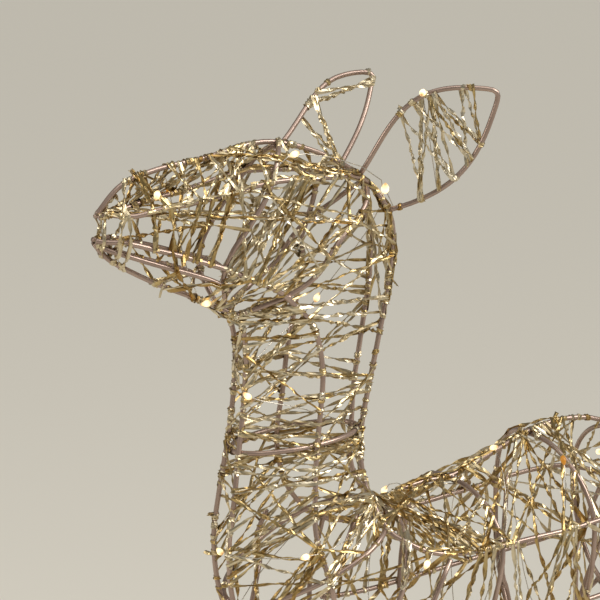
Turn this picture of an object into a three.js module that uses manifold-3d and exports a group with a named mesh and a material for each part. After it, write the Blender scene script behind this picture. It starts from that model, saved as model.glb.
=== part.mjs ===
// Light-up reindeer: a standing doe bent from steel rod, wound with metallised strip and small lamps.
// Millimetres, +Z up. The animal faces -X; its left side is -Y. The feet stand on Z = 0.
import * as THREE from 'three';
import { mergeVertices } from 'three/addons/utils/BufferGeometryUtils.js';
import Module from 'manifold-3d';

const wasm = await Module();
wasm.setup();

// Driving dimensions
const rodRadius = 1.5;
const rodSides = 4;
const hoopSink = 2.3; // hoops lie inside the long rods and touch them
const stripRadius = 0.9; // about half the width of one wound strip
const stripLift = 4.6; // strips pass this far outside the middle of the rods
const wireRadius = 0.5;
const wireSink = 4.2; // the lamp wire runs this far inside the middle of the rods
const wireSinkPerWidth = 0.1; // and further in where the cage is wider, where hoops bow less
const clearance = 0.35; // what is wound round the rods keeps this far off them
const wireBend = 50; // degrees round the body between the wire's bends
const leafLift = 3.4; // strips and wire cross the ears and tail this far off the middle of the rod
const lampRadius = 2;
const lampLength = 6;
const frameShift = -82.5; // brings the middle of the whole animal over the origin
const left = -1;
const right = 1;

// Rings of the head, neck and trunk from nose to rump, in the animal's mirror plane:
// top x, top z, bottom x, bottom z, half width, and where the ring is widest (0 top to 1 bottom).
const rings = [
  [-119, 547, -121, 531, 3, 0.5], // nose tip
  [-105, 561, -112, 521, 9, 0.5], // nostrils
  [-84, 568, -88, 507, 14, 0.5], // muzzle
  [-55, 572, -62, 495, 19, 0.5], // cheek
  [-14, 578, -47, 487, 24, 0.5], // brow
  [31, 562, -40, 481, 26, 0.5], // crown
  [59.5, 534, -37, 474, 26, 0.5], // nape
  [60, 499, -35, 461, 25, 0.5], // throat
  [53, 462, -36, 442, 24, 0.5], // upper neck
  [46, 432, -38, 424, 24, 0.5], // middle of the neck
  [42, 411, -41, 405, 24, 0.5], // neck ring
  [41, 392, -45, 380, 29, 0.5], // lower neck
  [45, 374, -48, 350, 37, 0.47], // foot of the neck
  [57, 363, -43, 316, 46, 0.42], // collar
  [70, 367, -26, 282, 51, 0.38], // breast
  [87, 370, 10, 252, 54, 0.34], // girth
  [106, 371, 62, 236, 56, 0.31], // ribs
  [134, 381, 112, 233, 56, 0.32], // belly
  [163, 392, 156, 240, 56, 0.36], // loin
  [192, 395, 196, 254, 54, 0.38], // hip
  [220, 387, 226, 276, 47, 0.4], // croup
  [243, 366, 246, 302, 32, 0.45], // buttock
  [252, 344, 253, 326, 10, 0.5], // rump
];

// The corner radius of a polygon that holds as much metal as a round rod
function roundRadius(radius, sides) {
  return radius * Math.sqrt((2 * Math.PI) / (sides * Math.sin((2 * Math.PI) / sides)));
}
const footHeight = roundRadius(rodRadius, rodSides) * Math.cos(Math.PI / rodSides);

// Rings of the legs from the body down to the ground: height, front x, back x, middle y, half width.
const frontLeg = [
  [285, -10, 60, 42, 12],
  [245, 2, 48, 38, 13],
  [195, 12, 40, 35, 11],
  [130, 16, 38, 33, 10], // knee
  [80, 20, 36, 33, 7],
  [34, 20, 36, 33, 8], // pastern
  [footHeight, 11, 43, 33, 12], // hoof
];
const hindLeg = [
  [300, 168, 246, 42, 13],
  [250, 178, 242, 38, 15],
  [205, 196, 238, 35, 12],
  [150, 222, 249, 33, 9], // hock
  [95, 217, 235, 33, 7],
  [34, 206, 223, 33, 8], // pastern
  [footHeight, 197, 229, 33, 12], // hoof
];

const rad = THREE.MathUtils.degToRad;

// A smooth value between the rows of a table, at row s
function between(rows, s) {
  const last = rows.length - 1;
  const at = THREE.MathUtils.clamp(s, 0, last);
  const i = Math.min(Math.floor(at), last - 1);
  const t = at - i;
  const [p0, p1, p2, p3] = [Math.max(i - 1, 0), i, i + 1, Math.min(i + 2, last)].map((k) => rows[k]);
  return p1.map((b, c) => {
    const [a, d, e] = [p0[c], p2[c], p3[c]];
    return 0.5 * (2 * b + (d - a) * t + (2 * a - 5 * b + 4 * d - e) * t * t + (3 * b - a - 3 * d + e) * t ** 3);
  });
}

// A point on the body's cage: ring s, and the angle from the top, positive towards the animal's left
function onBody(s, angle, lift = 0) {
  const [topX, topZ, lowX, lowZ, half, widest] = between(rings, s);
  const up = Math.cos(rad(angle));
  const out = Math.sin(rad(angle));
  const midX = topX + (lowX - topX) * widest;
  const midZ = topZ + (lowZ - topZ) * widest;
  const share = up >= 0 ? widest : 1 - widest;
  const height = Math.hypot(topX - lowX, topZ - lowZ);
  const reach = share * height + lift;
  const x = midX + ((topX - lowX) / height) * reach * up;
  const z = midZ + ((topZ - lowZ) / height) * reach * up;
  return new THREE.Vector3(x, left * (half + lift) * out, z);
}

// A point on a leg's cage: row s, and the angle from the front, positive outwards
function onLeg(leg, side, s, angle, lift = 0) {
  const [z, frontX, backX, middleY, half] = between(leg, s);
  const x = (frontX + backX) / 2 - ((backX - frontX) / 2 + lift) * Math.cos(rad(angle));
  const y = middleY + (half + lift) * Math.sin(rad(angle));
  return new THREE.Vector3(x, side * y, z);
}

// Points along the body's cage through hand-set stops of [ring, angle]
function bodyRun(stops, side, lift = 0) {
  return stops.map(([s, angle]) => onBody(s, side === left ? angle : -angle, lift));
}

function polygon(radius, sides, stretch = 1) {
  const shape = new THREE.Shape();
  for (let k = 0; k < sides; k += 1) {
    const a = (2 * Math.PI * (k + 0.5)) / sides;
    shape[k ? 'lineTo' : 'moveTo'](radius * Math.cos(a), stretch * radius * Math.sin(a));
  }
  return shape;
}

// A path of straight stretches that keeps the corners it is given
class Route extends THREE.Curve {
  constructor(points) {
    super();
    this.points = points;
  }
  getPoint(t, target = new THREE.Vector3()) {
    const at = t * (this.points.length - 1);
    const i = Math.min(Math.floor(at), this.points.length - 2);
    return target.lerpVectors(this.points[i], this.points[i + 1], at - i);
  }
  getPointAt(u, target) {
    return this.getPoint(u, target);
  }
  getTangentAt(u, target) {
    const step = 0.5 / (this.points.length - 1);
    const ahead = this.getPoint(Math.min(u + step, 1));
    const behind = this.getPoint(Math.max(u - step, 0));
    return (target ?? new THREE.Vector3()).subVectors(ahead, behind).normalize();
  }
}

function sweep(points, section) {
  const extrudePath = new Route(points);
  return new THREE.ExtrudeGeometry(section, { steps: points.length - 1, bevelEnabled: false, extrudePath });
}

function toSolid(geometry) {
  const bare = geometry.clone();
  bare.deleteAttribute('normal');
  bare.deleteAttribute('uv');
  const merged = mergeVertices(bare.index ? bare.toNonIndexed() : bare, 1e-4);
  const mesh = new wasm.Mesh({
    numProp: 3,
    vertProperties: new Float32Array(merged.attributes.position.array),
    triVerts: new Uint32Array(merged.index.array),
  });
  return new wasm.Manifold(mesh);
}

function fuse(geometries) {
  return geometries.map(toSolid).reduce((whole, piece) => whole.add(piece));
}

function toGeometry(solid) {
  const mesh = solid.getMesh();
  const geometry = new THREE.BufferGeometry();
  geometry.setAttribute('position', new THREE.BufferAttribute(new Float32Array(mesh.vertProperties), 3));
  geometry.setIndex(new THREE.BufferAttribute(new Uint32Array(mesh.triVerts), 1));
  const flat = geometry.toNonIndexed();
  flat.computeVertexNormals();
  return flat;
}

const rodSection = polygon(roundRadius(rodRadius, rodSides), rodSides);
const clearSection = polygon(roundRadius(rodRadius + clearance, rodSides), rodSides);
const stripSection = polygon(stripRadius, 3, 0.7);
const wireSection = polygon(wireRadius, 3);

// The rods that run lengthwise, as stops of [ring, angle from the top]
const crest = [[0, 0], [0.6, 0], [1.3, 0], [2.4, 0], [3.4, 0], [4.1, 0], [4.7, 0], [5.3, 0], [5.6, 0]];
const brow = [[0, 40], [1, 76], [2, 68], [3, 60], [4, 54], [4.7, 40], [5.5, 4]];
const lip = [[0, 160], [1, 138], [2, 131], [3, 131], [3.7, 138]];
const leftJaw = [
  [0, 140], [1, 117], [2, 113], [3, 116], [4, 123], [5, 122], [6, 118], [7, 105],
  [8, 94], [9, 90], [10, 88], [11, 90], [12, 98], [13, 106], [13.6, 113],
];
const rightJaw = [[0, 140], [1, 117], [2, 113], [3, 116], [4, 121], [5.1, 130]];
const throat = [
  [0, 178], [1, 178], [2.5, 175], [4, 168], [5, 165], [6, 165], [7, 165], [8.5, 164], [10, 162],
  [11, 161], [12, 165], [13, 170], [14, 168], [15, 164], [16, 160], [18, 158], [20, 156], [22, 150],
];
const leftNape = [
  [5.5, 8], [6, 18], [7, 24], [8, 26], [9, 23], [10, 22], [11, 25], [12, 31], [12.7, 44],
  [13.5, 56], [14.5, 68], [15.2, 72], [16, 72], [17, 77], [18, 80], [20, 80], [22, 80],
];
const rightNape = [[5.5, 8], [6, 28], [7, 26], [8, 24], [9, 20], [10, 14], [11.2, 12], [12.7, 0]];
const rightMiddle = [
  [4.9, 32], [5.6, 72], [6, 80], [7, 87], [8, 90], [9, 88], [10, 88], [11, 80], [12, 71],
  [12.8, 68], [13.5, 72], [14.3, 79], [15, 83], [16, 84], [18, 85], [20, 82], [22, 80],
];
const rightShoulder = [[12.4, 92], [13, 106], [13.6, 113]];
const spine = [[12.7, 0], [14, 0], [16, 0], [18, 0], [20, 0], [21, 0], [22, 0]];
const lowFlank = [[15.2, 118], [16.5, 114], [18, 114], [19.5, 118], [21, 118], [22, 110]];

// The hoops, as stops of [ring, angle] from the top down one side; the other side mirrors them
const hoops = {
  cheek: [[4.1, 0], [4, 40], [3.9, 66], [3.7, 86], [3.45, 108], [3.45, 132], [3.8, 156], [4.1, 180]],
  skull: [[5.4, 0], [5.5, 40], [5.5, 76], [5.7, 100], [5.6, 120], [5.2, 144], [4.7, 180]],
  neckRing: [[10, 0], [10, 40], [10, 88], [10, 130], [10, 180]],
  collar: [[13, 0], [13, 30], [13, 60], [13, 90], [13, 120], [13, 150], [13, 180]],
  shoulder: [[12.9, 0], [13.3, 24], [13.7, 48], [14.2, 76], [14.8, 110], [15.3, 145], [15.6, 180]],
  ribs: [[16, 0], [16.2, 40], [16.4, 80], [16.5, 130], [16.6, 180]],
  loin: [[17.9, 0], [18.1, 40], [18.3, 80], [18.3, 130], [18.3, 180]],
  croup: [[20, 0], [20, 40], [20, 80], [20, 130], [20, 180]],
};

// The ears: a leaf of bent rod from a seat on the skull to a tip, bulging to the front and to the back
const leaves = {
  leftEar: { front: [5.3, 0], back: [5.93, 17], tip: [106, -45, 604], bulges: [20, 15.5], leans: [1.16, 0.93] },
  rightEar: { front: [4.18, -51.8], back: [5.13, -22], tip: [68, 30, 608], bulges: [12, 3.5], leans: [1.97, 1.12] },
  tail: { front: [21.2, 0], back: [22, 0], tip: [286, 0, 322], bulges: [8, 6], leans: [0.85, 0.85] },
};

// A point of a loop: t from its seat to its tip, edge 1 in front and -1 behind; lean moves the bulge outwards
function leafPoint({ front, back, tip, bulges, leans }, t, edge) {
  const [a, b, c] = [onBody(...front), onBody(...back), new THREE.Vector3(...tip)];
  const seat = edge > 0 ? a : b;
  const along = new THREE.Vector3().subVectors(c, seat);
  const across = new THREE.Vector3().subVectors(a, b);
  across.addScaledVector(along, -across.dot(along) / along.lengthSq()).normalize();
  const [size, lean] = edge > 0 ? [bulges[0], leans[0]] : [-bulges[1], leans[1]];
  const bulge = size * Math.sin(Math.PI * t ** lean);
  return seat.clone().addScaledVector(along, t).addScaledVector(across, bulge);
}

function leafLoop(leaf, section, steps = 6) {
  return [1, -1].map((edge) => {
    const points = Array.from({ length: steps + 1 }, (_, k) => leafPoint(leaf, k / steps, edge));
    return sweep(points, section);
  });
}

function legRods(leg, side, starts, section) {
  const angles = [0, 130, -130];
  const rods = angles.map((angle, k) => {
    const start = onBody(starts[k][0], side === left ? starts[k][1] : -starts[k][1]);
    const points = leg.map((_, s) => onLeg(leg, side, s, angle)).filter((point) => point.z < start.z - 4);
    return sweep([start, ...points], section);
  });
  const ringRows = [[1, -hoopSink], [3, -hoopSink], [6, 0]];
  const steps = 6;
  const legHoops = ringRows.map(([s, lift]) => {
    const points = Array.from({ length: steps + 1 }, (_, k) => onLeg(leg, side, s, (360 * k) / steps - 180, lift));
    return sweep(points, section);
  });
  return [...rods, ...legHoops];
}

function frameRods(section) {
  const list = [];
  const add = (stops, sides, lift = 0) => sides.forEach((side) => {
    list.push(sweep(bodyRun(stops, side, lift), section));
  });
  const both = [left, right];
  add(crest, [left]);
  add(brow, both);
  add(lip, both);
  add(leftJaw, [left]);
  add(rightJaw, [right]);
  add(throat, both);
  add(leftNape, [left]);
  add(rightNape, [right]);
  add(rightMiddle, [right]);
  add(rightShoulder, [right]);
  add(spine, [left]);
  add(lowFlank, both);
  Object.values(hoops).forEach((stops) => {
    const mirrored = stops.slice(1).reverse().map(([s, angle]) => [s, -angle]);
    add([...mirrored, ...stops], [left], -hoopSink);
  });
  list.push(...Object.values(leaves).flatMap((leaf) => leafLoop(leaf, section)));
  const frontStarts = [[13.6, 113], [15.2, 76], [15.2, 164]];
  const hindStarts = [[18.6, 81], [20.8, 80], [19.2, 157]];
  both.forEach((side) => {
    list.push(...legRods(frontLeg, side, frontStarts, section));
    list.push(...legRods(hindLeg, side, hindStarts, section));
  });
  return list;
}

// Strips wound round one stretch of the animal; two wound opposite ways cross and hold each other
function woundStrips(place, from, to, turns, perTurn, ways) {
  const steps = Math.round(turns * perTurn);
  return ways.map((way) => {
    const points = Array.from({ length: steps + 1 }, (_, k) => {
      const s = from + ((to - from) * k) / steps;
      return place(s, way * ((360 * k) / perTurn), stripLift);
    });
    return sweep(points, stripSection);
  });
}

// One strip laced to and fro across an ear or the tail, just clear of the rod
function lacedStrip(leaf, crossings) {
  const points = Array.from({ length: crossings + 1 }, (_, k) => {
    return besideLeaf(leaf, 0.12 + (0.8 * k) / crossings, k % 2 ? 1 : -1, Math.sign(leaf.tip[1]) || left);
  });
  return straightRuns(points, stripRadius, stripSection);
}

function besideLeaf(leaf, t, edge, face) {
  return leafPoint(leaf, t, edge).add(new THREE.Vector3(0, face * leafLift, 0));
}

// Straight lengths from point to point, each a little longer than its span so that neighbours join
function straightRuns(points, overrun, section) {
  return points.slice(1).map((point, k) => {
    const back = new THREE.Vector3().subVectors(points[k], point).setLength(overrun);
    return sweep([points[k].clone().add(back), point.clone().sub(back)], section);
  });
}

// The lamps in their order on the wire, as [ring, angle]; the angle keeps growing as the wire winds round
const lampStops = [
  [20.6, -60], [19.5, 75], [18.8, 215], [17.9, 398], [17.4, 560], [17, 720], [16.2, 860], [15.6, 1020],
  [14.6, 1158], [13.8, 1300], [12.3, 1550], [12, 1612], [11, 1750], [8.2, 1956], [7.2, 2090], [5.7, 2164],
  [4.2, 2190], [3.2, 2320], [2.6, 2460], [1.8, 2574],
];
const earLampStop = 15; // from this lamp the wire goes up the left ear to one more lamp and comes back
const earExit = [6.1, 0, 5]; // ring, angle and lift where it comes out between the nape rods
const earRoute = [[0.2, -1], [0.52, 1], [0.3, -1]];
const earLamp = 1;

function lampAt(point) {
  const lamp = new THREE.OctahedronGeometry(1).scale(lampRadius, lampRadius, lampLength / 2);
  return lamp.translate(point.x, point.y, point.z);
}

function wirePoint(s, angle) {
  const half = between(rings, s)[4];
  return onBody(s, angle, -wireSink - wireSinkPerWidth * half);
}

// The wire in gentle bends between the lamps
function wireRun(stops) {
  const points = stops.slice(1).flatMap(([s, angle], k) => {
    const [fromS, fromAngle] = stops[k];
    const bends = Math.max(1, Math.round((angle - fromAngle) / wireBend));
    return Array.from({ length: bends }, (_, i) => {
      const t = i / bends;
      return wirePoint(fromS + (s - fromS) * t, fromAngle + (angle - fromAngle) * t);
    });
  });
  return sweep([...points, wirePoint(...stops.at(-1))], wireSection);
}

function lampString() {
  const lampPoints = lampStops.map((stop) => wirePoint(...stop));
  const earPoints = earRoute.map(([t, edge]) => besideLeaf(leaves.leftEar, t, edge, right));
  const base = lampPoints[earLampStop];
  return [
    wireRun(lampStops.slice(0, earLampStop + 1)),
    wireRun(lampStops.slice(earLampStop)),
    ...straightRuns([base, onBody(...earExit), ...earPoints], wireRadius, wireSection),
    ...lampPoints.map(lampAt),
    lampAt(earPoints[earLamp]),
  ];
}

const frameColour = new THREE.MeshStandardMaterial({ color: 0x94796c, roughness: 0.4, metalness: 0.6 });
const group = new THREE.Group();
group.position.x = frameShift;

function addMesh(name, solid, material) {
  const mesh = new THREE.Mesh(toGeometry(solid), material);
  mesh.name = name;
  group.add(mesh);
}

// What is wound on is cut clear of the rods where it would press into them; scraps fall away
const keepOff = fuse(frameRods(clearSection));
function addWound(name, geometries, material) {
  const pieces = fuse(geometries).subtract(keepOff).decompose();
  pieces.sort((a, b) => b.volume() - a.volume());
  addMesh(name, pieces[0], material);
}

const stripColour = new THREE.MeshStandardMaterial({ color: 0xc9b27a, roughness: 0.25, metalness: 1 });
const lampColour = new THREE.MeshStandardMaterial({ color: 0xfff0c8, roughness: 0.2, metalness: 0 });

addMesh('wire_frame', fuse(frameRods(rodSection)), frameColour);
const crossed = [left, right];
addWound('strip_head', woundStrips(onBody, 0.9, 4.7, 3, 9, crossed), stripColour);
addWound('strip_neck', woundStrips(onBody, 6.4, 11.8, 3, 9, crossed), stripColour);
addWound('strip_body', woundStrips(onBody, 13.6, 21, 3, 13, crossed), stripColour);
addWound('strip_ear_left', lacedStrip(leaves.leftEar, 7), stripColour);
addWound('strip_ear_right', lacedStrip(leaves.rightEar, 6), stripColour);
addWound('strip_tail', lacedStrip(leaves.tail, 4), stripColour);
[['left', left], ['right', right]].forEach(([sideName, side]) => {
  [['front', frontLeg], ['hind', hindLeg]].forEach(([legName, leg]) => {
    const place = (s, angle, lift) => onLeg(leg, side, s, angle, lift);
    addWound(`strip_${legName}_leg_${sideName}`, woundStrips(place, 1.6, 5.7, 3, 7, [side]), stripColour);
  });
});
addWound('lamp_string', lampString(), lampColour);

export default group;
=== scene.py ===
# %% [markdown]
# A light-up reindeer: a doe bent from painted steel rod, wound all over with bright metallised strip and
# a fine wire of little warm lamps. The rod cage carries everything, so it is made first and accurately;
# the strip is what catches the light, so most of this file is about how strip goes round a cage.

# %% Load the finished frame
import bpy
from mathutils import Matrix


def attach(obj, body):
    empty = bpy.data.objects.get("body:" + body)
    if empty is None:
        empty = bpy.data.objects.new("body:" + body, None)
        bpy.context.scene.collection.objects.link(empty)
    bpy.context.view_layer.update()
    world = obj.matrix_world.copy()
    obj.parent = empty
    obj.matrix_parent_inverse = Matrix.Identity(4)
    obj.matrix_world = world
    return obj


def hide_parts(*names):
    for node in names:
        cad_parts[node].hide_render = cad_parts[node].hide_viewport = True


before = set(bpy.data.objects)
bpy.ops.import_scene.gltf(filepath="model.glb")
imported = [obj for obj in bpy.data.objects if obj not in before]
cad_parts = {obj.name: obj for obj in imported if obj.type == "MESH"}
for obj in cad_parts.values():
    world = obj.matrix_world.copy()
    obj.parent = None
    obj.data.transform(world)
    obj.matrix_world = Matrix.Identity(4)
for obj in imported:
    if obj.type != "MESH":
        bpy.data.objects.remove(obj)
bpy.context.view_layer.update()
print("frame nodes", sorted(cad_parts))

# %% [markdown]
# Everything is worked out in millimetres, as a maker would measure rods, and turned into Blender's metres
# only when a mesh is built. Chance makes the winding look hand made, but it is seeded, so the same reindeer
# comes out each time.

# %% Tools and units
import math

import bpy
import numpy as np

MM = 0.001
SEED = 2024
rng = np.random.default_rng(SEED)
print("one millimetre is", MM, "m, seed", SEED)

# %% [markdown]
# The camera stands low, a little in front of the animal's left shoulder, with a long lens, so the head is
# seen three-quarter and the rods keep their true spacing. Its place is worked out from the point that the
# picture's middle looks at, the two angles and the distance. The lens follows from how much is in view.

# %% Camera
FRAME_SHIFT = -82.5  # from the x of the rings below to the x of the frame
LOOK_AT = np.array([4.0 + FRAME_SHIFT, 0.0, 487.0])
VIEW_TURN = math.radians(-28.5)
VIEW_TILT = math.radians(12.5)
VIEW_DISTANCE = 1450.0
VIEW_WIDTH = 336.0
SENSOR = 36.0
SEE_AS_FAR_AS = 60.0  # metres


def away_at(turn, tilt):
    """The direction from a thing to a camera or light that stands at an angle round and an angle up."""
    flat = math.cos(tilt)
    return np.array([math.sin(turn) * flat, -math.cos(turn) * flat, math.sin(tilt)])


camera_data = bpy.data.cameras.new("camera")
camera_data.sensor_width = SENSOR
camera_data.lens = SENSOR * VIEW_DISTANCE / VIEW_WIDTH
camera_data.clip_end = SEE_AS_FAR_AS
camera = bpy.data.objects.new("camera", camera_data)
camera.location = (LOOK_AT + VIEW_DISTANCE * away_at(VIEW_TURN, VIEW_TILT)) * MM
camera.rotation_euler = (math.pi / 2 - VIEW_TILT, 0.0, VIEW_TURN)
bpy.context.scene.collection.objects.link(camera)
bpy.context.scene.camera = camera
print("camera at", [round(v, 3) for v in camera.location], "lens", round(camera_data.lens, 1))

# %% [markdown]
# The shape of the animal is a row of rings from the nose to the rump, each with its top and its bottom in
# the mirror plane, a half width and the height where it is widest. Any rod, hoop or strip is then a path in
# two numbers, ring and angle from the top, and lies on the body by itself. The legs are rings too.

# %% Rings of the body, in millimetres
# Each row has the x and z of the top, the x and z of the bottom, the half width, and how far down it is
# widest.
BODY = np.array([
    (-119, 547, -121, 531, 3, 0.5),  # nose tip
    (-105, 561, -112, 521, 9, 0.5),  # nostrils
    (-84, 568, -88, 507, 14, 0.5),  # muzzle
    (-55, 572, -62, 495, 19, 0.5),  # cheek
    (-14, 578, -47, 487, 24, 0.5),  # brow
    (31, 562, -40, 481, 26, 0.5),  # crown
    (59.5, 534, -37, 474, 26, 0.5),  # nape
    (60, 499, -35, 461, 25, 0.5),  # throat
    (53, 462, -36, 442, 24, 0.5),  # upper neck
    (46, 432, -38, 424, 24, 0.5),  # middle of the neck
    (42, 411, -41, 405, 24, 0.5),  # neck ring
    (41, 392, -45, 380, 29, 0.5),  # lower neck
    (45, 374, -48, 350, 37, 0.47),  # foot of the neck
    (57, 363, -43, 316, 46, 0.42),  # collar
    (70, 367, -26, 282, 51, 0.38),  # breast
    (87, 370, 10, 252, 54, 0.34),  # girth
    (106, 371, 62, 236, 56, 0.31),  # ribs
    (134, 381, 112, 233, 56, 0.32),  # belly
    (163, 392, 156, 240, 56, 0.36),  # loin
    (192, 395, 196, 254, 54, 0.38),  # hip
    (220, 387, 226, 276, 47, 0.4),  # croup
    (243, 366, 246, 302, 32, 0.45),  # buttock
    (252, 344, 253, 326, 10, 0.5),  # rump
])
print("rings", len(BODY), "body length", BODY[-1, 0] - BODY[0, 0], "mm")

# %% Rings of the legs, in millimetres
# Each row has the height, the x of the front and the back, the middle's distance outwards, and the half
# width.
FOOT_HEIGHT = 1.5
FRONT_LEG = np.array([
    (285, -10, 60, 42, 12),
    (245, 2, 48, 38, 13),
    (195, 12, 40, 35, 11),
    (130, 16, 38, 33, 10),  # knee
    (80, 20, 36, 33, 7),
    (34, 20, 36, 33, 8),  # pastern
    (FOOT_HEIGHT, 11, 43, 33, 12),  # hoof
])
HIND_LEG = np.array([
    (300, 168, 246, 42, 13),
    (250, 178, 242, 38, 15),
    (205, 196, 238, 35, 12),
    (150, 222, 249, 33, 9),  # hock
    (95, 217, 235, 33, 7),
    (34, 206, 223, 33, 8),  # pastern
    (FOOT_HEIGHT, 197, 229, 33, 12),  # hoof
])
LEFT = -1
RIGHT = 1
print("leg rings", len(FRONT_LEG), "and", len(HIND_LEG))

# %% Points on the rings
def between(rows, s):
    """Smooth values between the rows of a table, at the rows s."""
    rows = np.asarray(rows, float)
    s = np.clip(np.atleast_1d(s).astype(float), 0, len(rows) - 1)
    i = np.minimum(s.astype(int), len(rows) - 2)
    t = (s - i)[:, None]
    a = rows[np.maximum(i - 1, 0)]
    b = rows[i]
    c = rows[i + 1]
    d = rows[np.minimum(i + 2, len(rows) - 1)]
    return 0.5 * (2 * b + (c - a) * t + (2 * a - 5 * b + 4 * c - d) * t**2 + (3 * b - a - 3 * c + d) * t**3)


def on_body(s, angle, lift=0.0):
    """Points on the body's cage: rings s, angles from the top, positive to the animal's left."""
    top_x, top_z, low_x, low_z, half, widest = between(BODY, s).T
    up = np.cos(np.radians(angle))
    out = np.sin(np.radians(angle))
    height = np.hypot(top_x - low_x, top_z - low_z)
    reach = np.where(up >= 0, widest, 1 - widest) * height + lift
    mid_x = top_x + (low_x - top_x) * widest
    mid_z = top_z + (low_z - top_z) * widest
    x = mid_x + (top_x - low_x) / height * reach * up
    z = mid_z + (top_z - low_z) / height * reach * up
    return np.stack([x, LEFT * (half + lift) * out, z], -1)


def on_leg(leg, side, s, angle, lift=0.0):
    """Points on a leg's cage: rows s, angles from the front, positive outwards."""
    z, front, back, middle, half = between(leg, s).T
    x = (front + back) / 2 - ((back - front) / 2 + lift) * np.cos(np.radians(angle))
    y = middle + (half + lift) * np.sin(np.radians(angle))
    return np.stack([x, side * y, z], -1)


print("crown at", on_body(5, 0)[0].round(1), "knee at", on_leg(FRONT_LEG, LEFT, 3, 0)[0].round(1))

# %% [markdown]
# Rods are swept along their paths as round tubes. A tube needs a frame that doesn't spin as it goes, so
# each cross section is turned from the last one by the smallest turn that fits the path. Blender's curve
# bevel does the same, but plain mesh code gives one welded-looking object and exact closed ends.

# %% Directions and sides along a path
def unit(v):
    return v / np.maximum(np.linalg.norm(v, axis=-1, keepdims=True), 1e-9)


def directions(path):
    return unit(np.gradient(path, axis=0))


def steady_sides(path):
    """A side vector at each point that turns as little as it can along the path."""
    along = directions(path)
    guide = np.eye(3)[np.argmin(np.abs(along[0]))]
    sides = [unit(guide - along[0] * (guide @ along[0]))]
    for t in along[1:]:
        last = sides[-1]
        sides.append(unit(last - t * (last @ t)))
    return along, np.array(sides)


upright = np.array([[0.0, 0.0, 0.0], [0.0, 0.0, 9.0]])
print("an upright path has its side at", steady_sides(upright)[1][0])

# %% Round tube
def tube(path, radius, around=10):
    """Vertices and faces of a closed round tube; radius may vary along it."""
    along, side = steady_sides(path)
    other = np.cross(along, side)
    turn = np.linspace(0, 2 * math.pi, around, endpoint=False)
    r = np.broadcast_to(radius, len(path))[:, None, None]
    ring = side[:, None] * np.cos(turn)[None, :, None] + other[:, None] * np.sin(turn)[None, :, None]
    verts = (path[:, None] + r * ring).reshape(-1, 3)
    first = np.arange(len(path) - 1)[:, None] * around
    j = np.arange(around)
    k = (j + 1) % around
    quads = np.stack([first + j, first + k, first + around + k, first + around + j], -1).reshape(-1, 4)
    faces = [tuple(q) for q in quads.tolist()]
    faces.append(tuple(range(around - 1, -1, -1)))
    start = (len(path) - 1) * around
    faces.append(tuple(range(start, start + around)))
    return verts, faces


print("a short tube has", len(tube(upright, 1.5)[1]), "faces")

# %% Pile of small forms
class Pile:
    """Collects vertices and faces of many small closed forms for one mesh."""

    def __init__(self):
        self.verts = []
        self.faces = []
        self.tones = []
        self.count = 0

    def add(self, verts, faces, tone=0.5):
        self.verts.append(verts)
        self.faces.extend(tuple(v + self.count for v in f) for f in faces)
        self.tones.append(np.broadcast_to(tone, len(verts)))
        self.count += len(verts)

    def build(self, name, smooth=True):
        mesh = bpy.data.meshes.new(name)
        points = np.concatenate(self.verts) + np.array([FRAME_SHIFT, 0.0, 0.0])
        mesh.from_pydata((points * MM).tolist(), [], self.faces)
        tone = mesh.attributes.new("tone", "FLOAT", "POINT")
        tone.data.foreach_set("value", np.concatenate(self.tones).astype(np.float32))
        mesh.polygons.foreach_set("use_smooth", [smooth] * len(mesh.polygons))
        piece = bpy.data.objects.new(name, mesh)
        bpy.context.scene.collection.objects.link(piece)
        print(name, "triangles", sum(len(f) - 2 for f in self.faces))
        return piece


print("an empty pile holds", Pile().count, "points")

# %% [markdown]
# The rods that run lengthwise are written as stops of ring and angle. On the left side the jaw rod flows
# into the neck and the nape rod into the flank; on the right side the jaw rod ends at the skull hoop and
# the middle neck rod flows into the flank, as hand-bent frames often differ from side to side.

# %% Stops of the lengthwise rods
CREST = [(0, 0), (0.6, 0), (1.3, 0), (2.4, 0), (3.4, 0), (4.1, 0), (4.7, 0), (5.3, 0), (5.6, 0)]
BROW = [(0, 40), (1, 76), (2, 68), (3, 60), (4, 54), (4.7, 40), (5.5, 4)]
LIP = [(0, 160), (1, 138), (2, 131), (3, 131), (3.7, 138)]
LEFT_JAW = [
    (0, 140), (1, 117), (2, 113), (3, 116), (4, 123), (5, 122), (6, 118), (7, 105),
    (8, 94), (9, 90), (10, 88), (11, 90), (12, 98), (13, 106), (13.6, 113),
]
RIGHT_JAW = [(0, 140), (1, 117), (2, 113), (3, 116), (4, 121), (5.1, 130)]
THROAT = [
    (0, 178), (1, 178), (2.5, 175), (4, 168), (5, 165), (6, 165), (7, 165), (8.5, 164), (10, 162),
    (11, 161), (12, 165), (13, 170), (14, 168), (15, 164), (16, 160), (18, 158), (20, 156), (22, 150),
]
LEFT_NAPE = [
    (5.5, 8), (6, 18), (7, 24), (8, 26), (9, 23), (10, 22), (11, 25), (12, 31), (12.7, 44),
    (13.5, 56), (14.5, 68), (15.2, 72), (16, 72), (17, 77), (18, 80), (20, 80), (22, 80),
]
RIGHT_NAPE = [(5.5, 8), (6, 28), (7, 26), (8, 24), (9, 20), (10, 14), (11.2, 12), (12.7, 0)]
RIGHT_MIDDLE = [
    (4.9, 32), (5.6, 72), (6, 80), (7, 87), (8, 90), (9, 88), (10, 88), (11, 80), (12, 71),
    (12.8, 68), (13.5, 72), (14.3, 79), (15, 83), (16, 84), (18, 85), (20, 82), (22, 80),
]
RIGHT_SHOULDER = [(12.4, 92), (13, 106), (13.6, 113)]
SPINE = [(12.7, 0), (14, 0), (16, 0), (18, 0), (20, 0), (21, 0), (22, 0)]
LOW_FLANK = [(15.2, 118), (16.5, 114), (18, 114), (19.5, 118), (21, 118), (22, 110)]
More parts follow.
